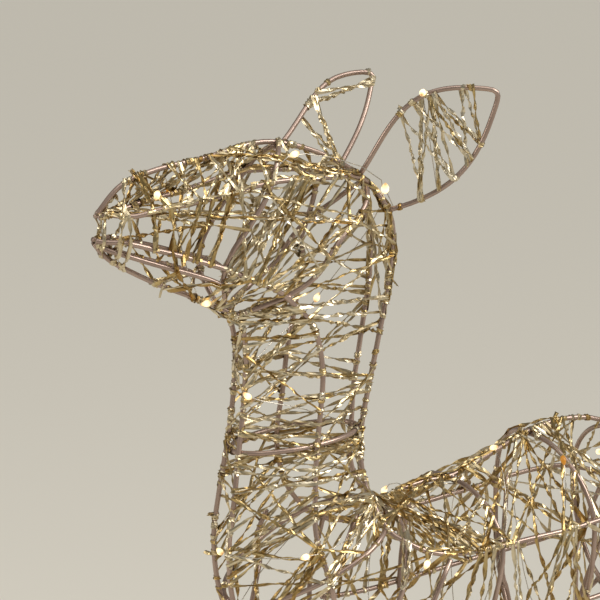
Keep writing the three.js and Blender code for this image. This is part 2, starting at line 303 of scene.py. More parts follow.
LONG_RODS = {
    LEFT: [CREST, BROW, LIP, LEFT_JAW, THROAT, LEFT_NAPE, SPINE, LOW_FLANK],
    RIGHT: [BROW, LIP, RIGHT_JAW, THROAT, RIGHT_NAPE, RIGHT_MIDDLE, RIGHT_SHOULDER, LOW_FLANK],
}
print("lengthwise rods", [len(group) for group in LONG_RODS.values()])

# %% Stops of the hoops
HOOPS = [
    [(4.1, 0), (4, 40), (3.9, 66), (3.7, 86), (3.45, 108), (3.45, 132), (3.8, 156), (4.1, 180)],  # cheek
    [(5.4, 0), (5.5, 40), (5.5, 76), (5.7, 100), (5.6, 120), (5.2, 144), (4.7, 180)],  # skull
    [(10, 0), (10, 40), (10, 88), (10, 130), (10, 180)],  # neck ring
    [(13, 0), (13, 30), (13, 60), (13, 90), (13, 120), (13, 150), (13, 180)],  # collar
    [(12.9, 0), (13.3, 24), (13.7, 48), (14.2, 76), (14.8, 110), (15.3, 145), (15.6, 180)],  # shoulder
    [(16, 0), (16.2, 40), (16.4, 80), (16.5, 130), (16.6, 180)],  # ribs
    [(17.9, 0), (18.1, 40), (18.3, 80), (18.3, 130), (18.3, 180)],  # loin
    [(20, 0), (20, 40), (20, 80), (20, 130), (20, 180)],  # croup
]
print("hoops", len(HOOPS))

# %% [markdown]
# An ear is one rod bent into a leaf, and the tail is a small leaf too. A leaf has the two places where its
# ends are seated on the cage, its tip, how far each edge swells and how the swell leans towards seat or tip.
# Each leg hangs on three rods, which start on the trunk at the places given here.

# %% Leaves and starts of the legs
LEAVES = {
    "left_ear": {
        "front": (5.3, 0),
        "back": (5.93, 17),
        "tip": (106, -45, 604),
        "bulges": (20, 15.5),
        "leans": (1.16, 0.93),
    },
    "right_ear": {
        "front": (4.18, -51.8),
        "back": (5.13, -22),
        "tip": (68, 30, 608),
        "bulges": (12, 3.5),
        "leans": (1.97, 1.12),
    },
    "tail": {
        "front": (21.2, 0),
        "back": (22, 0),
        "tip": (286, 0, 322),
        "bulges": (8, 6),
        "leans": (0.85, 0.85),
    },
}
FRONT_STARTS = [(13.6, 113), (15.2, 76), (15.2, 164)]
HIND_STARTS = [(18.6, 81), (20.8, 80), (19.2, 157)]
LEG_ANGLES = (0, 130, -130)
print("leaves", list(LEAVES))

# %% From stops to points
def along_stops(stops, per_stop=6):
    """A smooth fine run through given stops of ring and angle."""
    k = np.linspace(0, len(stops) - 1, (len(stops) - 1) * per_stop + 1)
    return between(stops, k)


def run(stops, side, lift=0.0):
    s, angle = along_stops(stops).T
    return on_body(s, angle if side == LEFT else -angle, lift)


def leaf_point(leaf, t, edge):
    """A point on a leaf-shaped loop: t from its seat to its tip, edge 1 in front and -1 behind."""
    a = on_body(*leaf["front"])[0]
    b = on_body(*leaf["back"])[0]
    tip = np.array(leaf["tip"], float)
    seat = a if edge > 0 else b
    along = tip - seat
    across = (a - b) - along * ((a - b) @ along) / (along @ along)
    bulge = leaf["bulges"][0] if edge > 0 else -leaf["bulges"][1]
    lean = leaf["leans"][0 if edge > 0 else 1]
    t = np.atleast_1d(t)[:, None]
    return seat + along * t + unit(across) * bulge * np.sin(math.pi * np.clip(t, 0, 1) ** lean)


print("left ear's tip at", leaf_point(LEAVES["left_ear"], 1, 1)[0].round(1))

# %% [markdown]
# The frame itself: every rod is a smooth 3 mm tube, and the hoops lie just inside the long rods, so that the
# two touch but don't cut through each other. A leg has its own three rods and three small rings, the lowest
# of which is the hoof that it stands on.

# %% Paths of a leg's rods and rings
ROD = 1.5
HOOP_SINK = 2.3
LEG_POINTS = 37
SMOOTHED_POINTS = 60
RING_POINTS = 33
START_DROP = 4.0  # the leg's own path begins this far below its start on the trunk
LEG_RINGS = ((1, -HOOP_SINK), (3, -HOOP_SINK), (6, 0.0))  # row of the leg, and how far out from its rods


def leg_paths(leg, side, starts):
    rods = []
    rows = np.linspace(0, len(leg) - 1, LEG_POINTS)
    for angle, (s, start_angle) in zip(LEG_ANGLES, starts):
        start = on_body(s, start_angle if side == LEFT else -start_angle)
        path = on_leg(leg, side, rows, angle)
        path = path[path[:, 2] < start[0, 2] - START_DROP]
        joined = np.concatenate([start, path])
        fine = between(joined[::2], np.linspace(0, len(joined[::2]) - 1, SMOOTHED_POINTS))
        rods.append(np.concatenate([fine[:-1], joined[-1:]]))
    turn = np.linspace(0, 360, RING_POINTS)
    rings = [on_leg(leg, side, np.full(RING_POINTS, row), turn, out) for row, out in LEG_RINGS]
    return rods, rings


print("rods and rings of a leg", [len(made) for made in leg_paths(FRONT_LEG, LEFT, FRONT_STARTS)])

# %% Loop of a leaf
LEAF_POINTS = 33
TIP_REACH = 7
TIP_ROUNDS = 3


def leaf_loop(leaf):
    """The whole rod of an ear or the tail, with its tip rounded over the last few steps."""
    front = leaf_point(leaf, np.linspace(0, 1, LEAF_POINTS), 1)
    back = leaf_point(leaf, np.linspace(1, 0, LEAF_POINTS), -1)
    path = np.concatenate([front, back[1:]])
    inner = slice(LEAF_POINTS - TIP_REACH, LEAF_POINTS + TIP_REACH - 1)
    for _ in range(TIP_ROUNDS):
        eased = path.copy()
        eased[1:-1] = (path[:-2] + 2 * path[1:-1] + path[2:]) / 4
        path[inner] = eased[inner]
    return path


leaf_paths = [leaf_loop(leaf) for leaf in LEAVES.values()]
print("points of each leaf", [len(path) for path in leaf_paths])

# %% Rod frame
long_paths = [run(stops, side) for side, group in LONG_RODS.items() for stops in group]
hoop_paths = [run(stops, side, -HOOP_SINK) for stops in HOOPS for side in (LEFT, RIGHT)]
for side in (LEFT, RIGHT):
    for leg, starts in ((FRONT_LEG, FRONT_STARTS), (HIND_LEG, HIND_STARTS)):
        rods, rings = leg_paths(leg, side, starts)
        long_paths += rods
        hoop_paths += rings

frame_pile = Pile()
for path in long_paths + hoop_paths + leaf_paths:
    frame_pile.add(*tube(path, ROD))
print("rods", len(long_paths), "hoops", len(hoop_paths), "leaves", len(leaf_paths))

# %% [markdown]
# Wherever a hoop touches a lengthwise rod the real frame is welded, and the weld shows as a small uneven
# bead. A bead could be a scaled sphere, but a hand-written ball of few sides keeps the mesh light, and each
# one gets its own three sizes by chance. Where two rods touch is found by measuring, so a moved rod takes its
# welds along.

# %% Bead of weld
def bead(centre, radii, around=8, rows=5):
    """A small closed ball squashed to radii, with its poles up and down."""
    verts = [centre + np.array([0, 0, radii[2]])]
    for i in range(1, rows):
        low = math.pi * i / rows
        for j in range(around):
            turn = 2 * math.pi * j / around
            offset = (math.sin(low) * math.cos(turn), math.sin(low) * math.sin(turn), math.cos(low))
            verts.append(centre + np.array(offset) * radii)
    verts.append(centre - np.array([0, 0, radii[2]]))
    faces = [(0, 1 + j, 1 + (j + 1) % around) for j in range(around)]
    for i in range(rows - 2):
        a = 1 + i * around
        for j in range(around):
            k = (j + 1) % around
            faces.append((a + j, a + around + j, a + around + k, a + k))
    last = len(verts) - 1
    a = 1 + (rows - 2) * around
    faces += [(a + j, last, a + (j + 1) % around) for j in range(around)]
    return np.array(verts), faces


print("a bead has", len(bead(np.zeros(3), np.ones(3))[1]), "faces")

# %% Weld the frame
WELD = 2.1
WELD_VARIES = (0.8, 1.15)
WELD_REACH = 3.2


def touches(paths, others):
    """Where each path comes closest to each other path, if it comes near enough to be welded."""
    found = []
    for a in paths:
        for b in others:
            gap = np.linalg.norm(a[:, None] - b[None], axis=-1)
            i, j = np.unravel_index(np.argmin(gap), gap.shape)
            if gap[i, j] < WELD_REACH:
                found.append((a[i] + b[j]) / 2)
    return found


weld_points = touches(hoop_paths, long_paths)
for point in weld_points:
    radii = WELD * rng.uniform(*WELD_VARIES, 3)
    radii[2] = min(radii[2], point[2])  # no bead goes through the floor
    frame_pile.add(*bead(point, radii))
wire_frame = frame_pile.build("rod_frame")
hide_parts("wire_frame")
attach(wire_frame, "root")
print("welds", len(weld_points))

# %% [markdown]
# The bright strip is a metallised tape about two millimetres wide, pulled tight over the rods and twisted as
# it goes. A tight strip runs straight from rod to rod and bends only where it touches one, so it is built as
# hops: each hop leaves one rod at a tangent, twists a few half turns in the open, and meets the next rod
# flat. Where it meets a rod it goes on round it, a little way or a whole turn or more, before the next hop.

# %% Station where a strip meets a rod
TAPE = 2.3  # width of the strip
TAPE_GAP = 0.3  # its middle stands this far off the rod
WRAP_RADIUS = ROD + TAPE_GAP
PARALLEL = 0.25  # below this a strip runs along its rod more than across it


class Station:
    """Where a strip meets a rod: the rod's middle and direction, the side it lies on, and turns about it."""

    def __init__(self, place, rod_way, side, wraps=0):
        self.place = place
        self.rod_way = rod_way
        self.side = side
        self.wraps = wraps


def contact(station, way):
    """Which way the strip stands off the rod, for a strip going that way."""
    stand = np.cross(station.rod_way, way)
    size = np.linalg.norm(stand)
    if size < PARALLEL:
        stand = station.side - station.rod_way * (station.side @ station.rod_way)
        return unit(stand)
    return stand / size * (1 if stand @ station.side >= 0 else -1)


print("a strip turns about a rod at", WRAP_RADIUS, "mm")

# %% Arc round a rod
ARC_STEP = math.radians(45)
STEEPEST_CLIMB = 0.5
COIL_CLIMB = 0.26 * TAPE / 2  # along the rod for each radian, so that turns lie side by side


def rotate(v, axis, angle):
    c = math.cos(angle)
    return v * c + np.cross(axis, v) * math.sin(angle) + axis * (axis @ v) * (1 - c)


def arc_round(station, arrive, leave, way):
    """Points and normals on the rod between one hop and the next, in the strip's own sense of turning."""
    axis = station.rod_way
    if np.cross(arrive, way) @ axis < 0:
        axis = -axis
    turn = math.atan2(np.cross(arrive, leave) @ axis, arrive @ leave)
    if turn < 0 and station.wraps:
        turn += 2 * math.pi
    turn += 2 * math.pi * station.wraps
    count = max(2, int(abs(turn) / ARC_STEP) + 1)
    climb = np.clip(way @ station.rod_way, -STEEPEST_CLIMB, STEEPEST_CLIMB) * WRAP_RADIUS
    if station.wraps:
        climb = COIL_CLIMB if climb >= 0 else -COIL_CLIMB
    points = []
    normals = []
    for k in np.linspace(0, 1, count):
        m = rotate(arrive, axis, turn * k)
        points.append(station.place + station.rod_way * climb * turn * k + m * WRAP_RADIUS)
        normals.append(m)
    return points, normals


print("a full turn has", round(2 * math.pi / ARC_STEP), "steps")

# %% Loose end
STEP = 2.3  # length of one flat of a strip
STAND_OFF = 0.5
SPRAY = 0.3
CURL = 0.1
TAIL_SPIN = 0.35


def loose_end(points, normals, end, length, rng):
    """A free tail beyond one end of a strip, curling a little."""
    away = unit(points[end] - points[1 if end == 0 else -2])
    away = unit(away + STAND_OFF * normals[end] + rng.normal(0, SPRAY, 3))
    count = max(2, int(length / STEP))
    curl = rng.normal(0, CURL, 3)
    tail = []
    here = points[end]
    for _ in range(count):
        away = unit(away + curl)
        here = here + away * length / count
        tail.append(here)
    return tail


def add_tails(points, normals, twists, tails, rng):
    """A strip's points, normals and twists with a loose end of each length beyond its ends."""
    for end, length in zip((0, -1), tails):
        if length:
            tail = loose_end(points, normals, end, length, rng)
            flat = [normals[end]] * len(tail)
            spin = [twists[end] + TAIL_SPIN * k for k in range(len(tail))]
            if end == 0:
                points = tail[::-1] + points
                normals = flat + normals
                twists = spin[::-1] + twists
            else:
                points = points + tail
                normals = normals + flat
                twists = twists + spin
    return points, normals, twists


print("a loose end of 6 mm has", int(6 / STEP), "flats")

# %% Hop between rods
SHORT_HOP = 8.0  # a shorter hop doesn't twist
TWIST_VARIES = (0.6, 1.4)
FIRST_TWIST = 0.5
TWIST_EASE = 0.13  # how much slower the twist is near the rods
SAG = 0.012
TINY = 1e-6


def hop(start, normal, end, end_normal, twist, half_turn, rng):
    """A strip in the open from start to end, and the twist that it has in the end."""
    span = end - start
    length = np.linalg.norm(span)
    halves = max(1, round(length / half_turn * rng.uniform(*TWIST_VARIES))) if length > SHORT_HOP else 0
    halves *= rng.choice((-1, 1))
    sag = rng.normal(0, SAG) * length
    count = max(1, int(length / STEP))
    points = []
    normals = []
    twists = []
    for k in np.arange(1, count) / count:
        normal = unit(normal * (1 - k) + end_normal * k + TINY)
        points.append(start + span * k + normal * sag * math.sin(math.pi * k))
        normals.append(normal)
        twists.append(twist + halves * math.pi * (k - TWIST_EASE * math.sin(2 * math.pi * k)))
    return points, normals, twists, twist + halves * math.pi


def strip_path(stations, rng, half_turn, tails=(0.0, 0.0)):
    """Points, normals and twist of a whole strip over its stations, with loose tails at its ends."""
    ways = [unit(b.place - a.place) for a, b in zip(stations[:-1], stations[1:])]
    points = []
    normals = []
    twists = []
    twist = rng.uniform(-FIRST_TWIST, FIRST_TWIST)
    for i, station in enumerate(stations):
        way_in = ways[max(i - 1, 0)]
        way_out = ways[min(i, len(ways) - 1)]
        arrive = contact(station, way_in)
        arc_points, arc_normals = arc_round(station, arrive, contact(station, way_out), way_in)
        if points:
            made = hop(points[-1], normals[-1], arc_points[0], arc_normals[0], twist, half_turn, rng)
            points += made[0]
            normals += made[1]
            twists += made[2]
            twist = made[3]
        points += arc_points
        normals += arc_normals
        twists += [twist] * len(arc_points)
    points, normals, twists = add_tails(points, normals, twists, tails, rng)
    return np.array(points), np.array(normals), np.array(twists)


print("hops over", SHORT_HOP, "mm twist by a half turn or more")

# %% [markdown]
# Crumpled film glitters because it is made of many small flat mirrors. Each strip is a shallow gutter with a
# crease down its middle, meshed in short lengths and shaded flat, and every length is turned a few degrees
# from its neighbour. That gives the sparkle by real shape, which also works in other programs.

# %% Mesh of a strip
FILM = 0.14  # thickness
FOLD = 0.45  # depth of the crease
CRUMPLE = math.radians(3.5)
CREASE_VARIES = (0.4, 1.4)
CREASE_RISE = 0.3  # share of the crease that stands up, while its sides hang down
WIDTH_DRIFT = 0.12
WIDTH_NOISE = 0.04
WIDTH_LIMITS = (0.5, 1.4)
DRIFT_SPAN = 9


def strip_mesh(points, normals, twists, rng, width=TAPE):
    """Vertices and faces of a creased strip of film with a real thickness and closed ends."""
    n = len(points)
    along = directions(points)
    flat = unit(np.cross(along, normals) + 1e-9)
    up = np.cross(flat, along)
    twist = twists + rng.normal(0, CRUMPLE, n)
    c = np.cos(twist)[:, None]
    s = np.sin(twist)[:, None]
    across = flat * c + up * s
    face = up * c - flat * s
    drift = np.convolve(rng.normal(0, 1, n + DRIFT_SPAN - 1), np.ones(DRIFT_SPAN) / 3, "valid")
    share = np.clip(1 + WIDTH_DRIFT * drift + rng.normal(0, WIDTH_NOISE, n), *WIDTH_LIMITS)
    half = (width / 2 * share)[:, None]
    crease = (FOLD * rng.uniform(*CREASE_VARIES, n))[:, None]
    film = FILM / 2
    section = [
        points - across * half - face * (crease - film),
        points + face * film + face * crease * CREASE_RISE,
        points + across * half - face * (crease - film),
        points + across * half - face * (crease + film),
        points - face * film + face * crease * CREASE_RISE,
        points - across * half - face * (crease + film),
    ]
    verts = np.stack(section, 1).reshape(-1, 3)
    first = np.arange(n - 1)[:, None] * 6
    j = np.arange(6)
    k = (j + 1) % 6
    quads = np.stack([first + j, first + 6 + j, first + 6 + k, first + k], -1).reshape(-1, 4)
    faces = [tuple(q) for q in quads.tolist()]
    last = (n - 1) * 6
    faces += [(0, 1, 4, 5), (1, 2, 3, 4)]
    faces += [(last + 5, last + 4, last + 1, last), (last + 4, last + 3, last + 2, last + 1)]
    return verts, faces


print("a strip is", TAPE, "mm wide with a crease", FOLD, "mm deep")

# %% Whole strip
TONES = (0.05, 0.85)
STRIP_WIDTHS = (0.75, 1.2)


def add_strip(pile, stations, rng, half_turn, width=TAPE, tails=(0.0, 0.0), tone=None):
    """Adds a strip over its stations to a pile, and gives its length."""
    points, normals, twists = strip_path(stations, rng, half_turn, tails)
    verts, faces = strip_mesh(points, normals, twists, rng, width * rng.uniform(*STRIP_WIDTHS))
    pile.add(verts, faces, rng.uniform(*TONES) if tone is None else tone)
    return float(np.linalg.norm(np.diff(points, axis=0), axis=1).sum())


print("strips run from", round(TAPE * STRIP_WIDTHS[0], 1), "to", round(TAPE * STRIP_WIDTHS[1], 1), "mm wide")

# %% [markdown]
# A cage knows its lengthwise rods, so a strip can be told its way in rings and angles alone. Every rod that
# lies between two stops on that way becomes a station, as a real strip rides over whatever it crosses.

# %% Cage
LOOK_ALONG = 0.15  # rings to either side for a rod's direction
LOOK_ROUND = 5  # degrees to either side for a hoop's direction
LOOK_OUT = 4.0  # millimetres for the way outwards
SAME_ROD = 4  # degrees within which it is still the same rod
OTHER_SIDE = 60  # a bigger change of angle isn't a crossing
CROSSING_STEPS = np.linspace(0.04, 0.96, 24)


def turned(angle):
    """The same angle between -180 and 180 degrees."""
    return (np.asarray(angle) + 180) % 360 - 180


class Cage:
    """A surface of rings with its lengthwise rods and hoops, for the body or a leg."""

    def __init__(self, surface, rods, hoops=()):
        self.surface = surface
        self.hoops = [np.array(hoop, float).T for hoop in hoops]
        self.rods = []
        for rod in rods:
            s, angle = np.array(rod, float).T
            order = np.argsort(s)
            self.rods.append((s[order], angle[order]))

    def point(self, s, angle, lift=0.0):
        return self.surface(s, angle, lift)[0]

    def outward(self, s, angle):
        return unit(self.point(s, angle, LOOK_OUT) - self.point(s, angle))

    def rods_at(self, s):
        return [rod for rod in self.rods if rod[0][0] <= s <= rod[0][-1]]

    def angles_at(self, s):
        return np.array([np.interp(s, *rod) for rod in self.rods_at(s)])

    def nearest(self, s, angle):
        """The nearest rod at a ring, and how far round it is."""
        rods = self.rods_at(s)
        miss = turned([np.interp(s, *rod) - angle for rod in rods])
        best = int(np.argmin(np.abs(miss)))
        return rods[best], float(miss[best])

    def station(self, s, angle, wraps=0):
        """A station on the rod nearest to a place."""
        rod, miss = self.nearest(s, angle)
        low = max(rod[0][0], s - LOOK_ALONG)
        high = min(rod[0][-1], s + LOOK_ALONG)
        a = self.point(low, np.interp(low, *rod))
        b = self.point(high, np.interp(high, *rod))
        return Station(self.point(s, angle + miss), unit(b - a), self.outward(s, angle + miss), wraps)

    def hoop_ring(self, hoop, angle):
        """The ring that a hoop reaches at an angle."""
        return np.interp(np.abs(turned(angle)), hoop[1], hoop[0])

    def hoop_station(self, hoop, angle, wraps=0):
        """A station on a hoop at an angle."""
        a = self.point(self.hoop_ring(hoop, angle - LOOK_ROUND), angle - LOOK_ROUND, -HOOP_SINK)
        b = self.point(self.hoop_ring(hoop, angle + LOOK_ROUND), angle + LOOK_ROUND, -HOOP_SINK)
        return Station((a + b) / 2, unit(b - a), self.outward(self.hoop_ring(hoop, angle), angle), wraps)

    def support(self, s, angle, wraps=0):
        """A station on the rod or hoop nearest to a place, and how far off it is in millimetres."""
        place = self.point(s, angle)
        found = [self.station(s, angle, wraps)]
        found += [self.hoop_station(hoop, angle, wraps) for hoop in self.hoops]
        gaps = [np.linalg.norm(one.place - place) for one in found]
        best = int(np.argmin(gaps))
        return found[best], gaps[best]

    def next_angle(self, s, angle, way, skip=0):
        """The angle of the next rod that way round, or of the one after it where one is skipped."""
        gaps = ((self.angles_at(s) - angle) * way) % 360
        gaps = np.sort(np.where(gaps < SAME_ROD, gaps + 360, gaps))
        return angle + way * gaps[min(skip, len(gaps) - 1)]

    def crossings(self, start, end):
        """Stations on the rods and hoops that a straight way from start to end rides over, in order."""
        found = []
        s = start[0] + (end[0] - start[0]) * CROSSING_STEPS
        angle = start[1] + (end[1] - start[1]) * CROSSING_STEPS
        for ring, along in self.rods:
            inside = (s >= ring[0]) & (s <= ring[-1])
            miss = turned(np.interp(s, ring, along) - angle)
            crossed = (miss[1:] * miss[:-1] < 0) & (np.abs(miss[1:]) < OTHER_SIDE)
            for i in np.nonzero(inside[1:] & inside[:-1] & crossed)[0]:
                found.append((i, self.station(s[i], angle[i])))
        for hoop in self.hoops:
            miss = s - self.hoop_ring(hoop, angle)
            for i in np.nonzero(miss[1:] * miss[:-1] < 0)[0]:
                found.append((i, self.hoop_station(hoop, angle[i])))
        return [station for _, station in sorted(found, key=lambda one: one[0])]


print("a cage looks for crossings at", len(CROSSING_STEPS), "places on a way")

# %% Cage of the body
PER_STOP = 4


def mirrored(stops):
    return [(s, -angle) for s, angle in stops]


rods_round = [along_stops(stops, PER_STOP) for stops in LONG_RODS[LEFT]]
rods_round += [along_stops(mirrored(stops), PER_STOP) for stops in LONG_RODS[RIGHT]]
body_cage = Cage(on_body, rods_round, HOOPS)
for place, ring in (("muzzle", 2), ("neck", 9), ("flank", 17)):
    print("rods at the", place, len(body_cage.angles_at(ring)))

# %% [markdown]
# Three kinds of winding make up the covering. A walk goes round and round, wandering along the body, and
# turns back at the limits of its zone. A sheaf is a few strips that lie nearly side by side, as the hand
# makes them when it goes to and fro in one place. A knot is a tight coil of a few turns on one rod.

# %% Walk
TURN_BACK = 0.08  # chances at each rod: to turn back, to skip it, to coil about it, to step backwards
SKIP_ROD = 0.14
COIL_HERE = 0.1
STEP_BACK = 0.1
SLANT_VARIES = 15
SLANT_LIMITS = (2, 68)
ARC_SLACK = 8
RING_LOOK = 0.25  # rings to either side, to see how far apart rings are here


def walk(cage, rings, arc, start, length, slant, rng):
    """Stations of one strip that wanders over a zone of the cage."""
    low, high = rings
    s, angle = start
    way = rng.choice((-1, 1))
    drift = 1 if slant >= 0 else -1
    lean = abs(slant)
    stations = [cage.station(s, angle, 1)]
    angle += cage.nearest(s, angle)[1]
    gone = 0.0
    while gone < length:
        target = cage.next_angle(s, angle, way, int(rng.random() < SKIP_ROD))
        if rng.random() < TURN_BACK or not arc[0] - ARC_SLACK <= turned(target) <= arc[1] + ARC_SLACK:
            way = -way
            target = cage.next_angle(s, angle, way)
            stations[-1].wraps = max(stations[-1].wraps, 1)
        across = np.linalg.norm(cage.point(s, target) - cage.point(s, angle))
        lean_here = np.clip(lean + rng.normal(0, SLANT_VARIES), *SLANT_LIMITS)
        advance = across * math.tan(math.radians(lean_here)) * drift
        if rng.random() < STEP_BACK:
            advance = -advance
        span = np.linalg.norm(cage.point(s + RING_LOOK, target) - cage.point(s - RING_LOOK, target))
        step = advance / (span / (2 * RING_LOOK))
        if not low <= s + step <= high:
            drift = -drift
            step = -step
        s = float(np.clip(s + step, low, high))
        angle = target + cage.nearest(s, target)[1]
        stations.append(cage.station(s, angle, int(rng.random() < COIL_HERE)))
        gone += math.hypot(across, advance)
    stations[-1].wraps = 1
    return stations


print("a walk skips a rod with a chance of", SKIP_ROD)

# %% Way of a strip laid through given stops
ON_ROD = 5.0  # an inner stop counts only this near to a rod or hoop
CLOSE = 4.0  # stations nearer than this are one


def apart(a, b):
    return np.linalg.norm(a.place - b.place)


def way_over(cage, stops):
    """Stations of a strip laid through given stops of ring and angle, over all that it crosses."""
    stations = [cage.support(*stops[0], wraps=1)[0]]
    for start, end in zip(stops[:-1], stops[1:]):
        stations += cage.crossings(start, end)
        stop, gap = cage.support(*end)
        if gap < ON_ROD and end is not stops[-1]:
            stations.append(stop)
    last = cage.support(*stops[-1], wraps=1)[0]
    kept = stations[:1]
    for station in stations[1:]:
        if apart(station, kept[-1]) > CLOSE and apart(station, last) > CLOSE:
            kept.append(station)
    return kept + [last]


def tuck(stations, share, rng):
    """Lead a strip behind a share of the rods that it meets, so that they show in front of it."""
    for station in stations[1:-1]:
        if station.wraps == 0 and rng.random() < share:
            station.side = -station.side
    return stations


trial_way = way_over(body_cage, [(9, 20), (9, 160)])
print("a strip from nape to throat meets", len(trial_way), "rods")

# %% Sheaf
SHEAF_TWIST = 15.0
TAIL_CHANCE = 0.06
SHEAF_TAILS = (3, 7)
OWN_SHIFT = 0.25


def chance_tails(lengths, rng):
    """Lengths of the two loose ends of a strip, mostly nothing."""
    return [rng.uniform(*lengths) * (rng.random() < TAIL_CHANCE) for _ in range(2)]


def sheaf(pile, cage, stops, count, spread, behind, rng):
    """A number of strips laid nearly side by side; spread is in rings and degrees."""
    for i in range(count):
        shift = rng.normal(0, 1, 2) * spread
        way = []
        for s, angle in stops:
            way.append((s + shift[0] + rng.normal(0, OWN_SHIFT * spread[0]), angle + shift[1]))
        way = way if i % 2 else way[::-1]
        tails = chance_tails(SHEAF_TAILS, rng)
        add_strip(pile, tuck(way_over(cage, way), behind, rng), rng, SHEAF_TWIST, tails=tails)


print("one end in", round(1 / TAIL_CHANCE), "is loose")

# %% Knot
KNOT_STEPS = 9  # in one turn
KNOT_WIDTH = 1.7
KNOT_SPREAD = 1.1
KNOT_TURNS = (1.5, 3.5)
USUAL_TURNS = 2.4  # a coil of so many turns has just its spread
COIL_THERE = 0.6  # share of the coil that is wound before it turns back
COIL_BACK = -0.3  # where it ends, as a share of its spread
COIL_START = (0, 6)  # radians
COIL_GROWS = 0.25
COIL_VARIES = 0.12
COIL_TWIST = 0.15


def knot(pile, station, turns, rng, width=KNOT_WIDTH, spread=KNOT_SPREAD):
    """A short tight coil about one rod, there and part of the way back."""
    side = unit(np.cross(station.rod_way, station.side))
    count = int(turns * KNOT_STEPS)
    k = np.arange(count)
    turn = k * 2 * math.pi / KNOT_STEPS + rng.uniform(*COIL_START)
    there_and_back = (-spread, spread, COIL_BACK * spread)
    climb = np.interp(k, (0, count * COIL_THERE, count - 1), there_and_back) * turns / USUAL_TURNS
    radius = WRAP_RADIUS + COIL_GROWS * k / count + rng.uniform(0, COIL_VARIES, count)
    m = station.side * np.cos(turn)[:, None] + side * np.sin(turn)[:, None]
    points = station.place + station.rod_way * climb[:, None] + m * radius[:, None]
    verts, faces = strip_mesh(points, m, rng.normal(0, COIL_TWIST, count), rng, width)
    pile.add(verts, faces, rng.uniform(*TONES))


def scatter_knots(pile, cage, rings, count, rng):
    for _ in range(count):
        s = rng.uniform(*rings)
        angle = rng.choice(cage.angles_at(s))
        knot(pile, cage.station(s, angle), rng.uniform(*KNOT_TURNS), rng)


print("a knot of two turns has", 2 * KNOT_STEPS, "points")

# %% Wind a zone
METRE = 1000
WALK_LENGTHS = (200, 600)
OVERSHOOT = 80
WALK_TAILS = (3, 6)
WALK_TWISTS = (10, 22)


def wind_zone(pile, cage, rings, arc, metres, slants, behind, rng):
    """Walks of strip over a zone until the metres are used up; gives the millimetres used."""
    used = 0.0
    while used < metres * METRE:
        start = (rng.uniform(*rings), rng.uniform(*arc))
        slant = rng.uniform(*slants) * rng.choice((-1, 1))
        length = min(rng.uniform(*WALK_LENGTHS), metres * METRE - used + OVERSHOOT)
        stations = tuck(walk(cage, rings, arc, start, length, slant, rng), behind, rng)
        tails = chance_tails(WALK_TAILS, rng)
        used += add_strip(pile, stations, rng, rng.uniform(*WALK_TWISTS), tails=tails)
    return used


def film_piece(pile, node):
    """The finished winding of one node, which takes the place of its plain solid."""
    piece = pile.build(node + "_film", smooth=False)
    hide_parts(node)
    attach(piece, "root")
    return piece


print("a walk is", WALK_LENGTHS[0], "to", WALK_LENGTHS[1], "mm long")

# %% [markdown]
# The zones give the general cover, thickest on the crown, the withers and the chest. The sheaves below are
# the strips that catch the eye, each read off the near side as ring and angle. The far side gets the
# same sheaves with a shift of their own, so that it is as richly wound without being a mirror image.

# %% Zones
ALL_ROUND = (-180, 180)
ZONES = {
    "strip_head": [
        {"rings": (0.2, 1.4), "arc": ALL_ROUND, "metres": 0.15, "slants": (5, 45)},
        {"rings": (1.2, 3.6), "arc": (-80, 80), "metres": 0.4, "slants": (10, 60)},
        {"rings": (1.2, 3.6), "arc": ALL_ROUND, "metres": 0.4, "slants": (20, 60)},
        {"rings": (2.8, 5.3), "arc": (-75, 75), "metres": 0.45, "slants": (5, 60)},
        {"rings": (3.3, 5.4), "arc": ALL_ROUND, "metres": 0.5, "slants": (10, 65)},
    ],
    "strip_neck": [
        {"rings": (5.5, 8.0), "arc": ALL_ROUND, "metres": 1.1, "slants": (15, 60)},
        {"rings": (7.0, 10.2), "arc": ALL_ROUND, "metres": 0.9, "slants": (5, 50)},
        {"rings": (9.8, 12.6), "arc": ALL_ROUND, "metres": 1.0, "slants": (5, 55)},
    ],
    "strip_body": [
        {"rings": (12.6, 15.6), "arc": (-95, 95), "metres": 1.5, "slants": (20, 70)},
        {"rings": (12.6, 16.5), "arc": ALL_ROUND, "metres": 2.0, "slants": (10, 60)},
        {"rings": (15.0, 18.6), "arc": ALL_ROUND, "metres": 2.5, "slants": (10, 60)},
        {"rings": (17.8, 21.9), "arc": ALL_ROUND, "metres": 4.0, "slants": (10, 60)},
    ],
}
for node, zones in ZONES.items():
    print(node, "zones", len(zones), "metres", round(sum(zone["metres"] for zone in zones), 2))

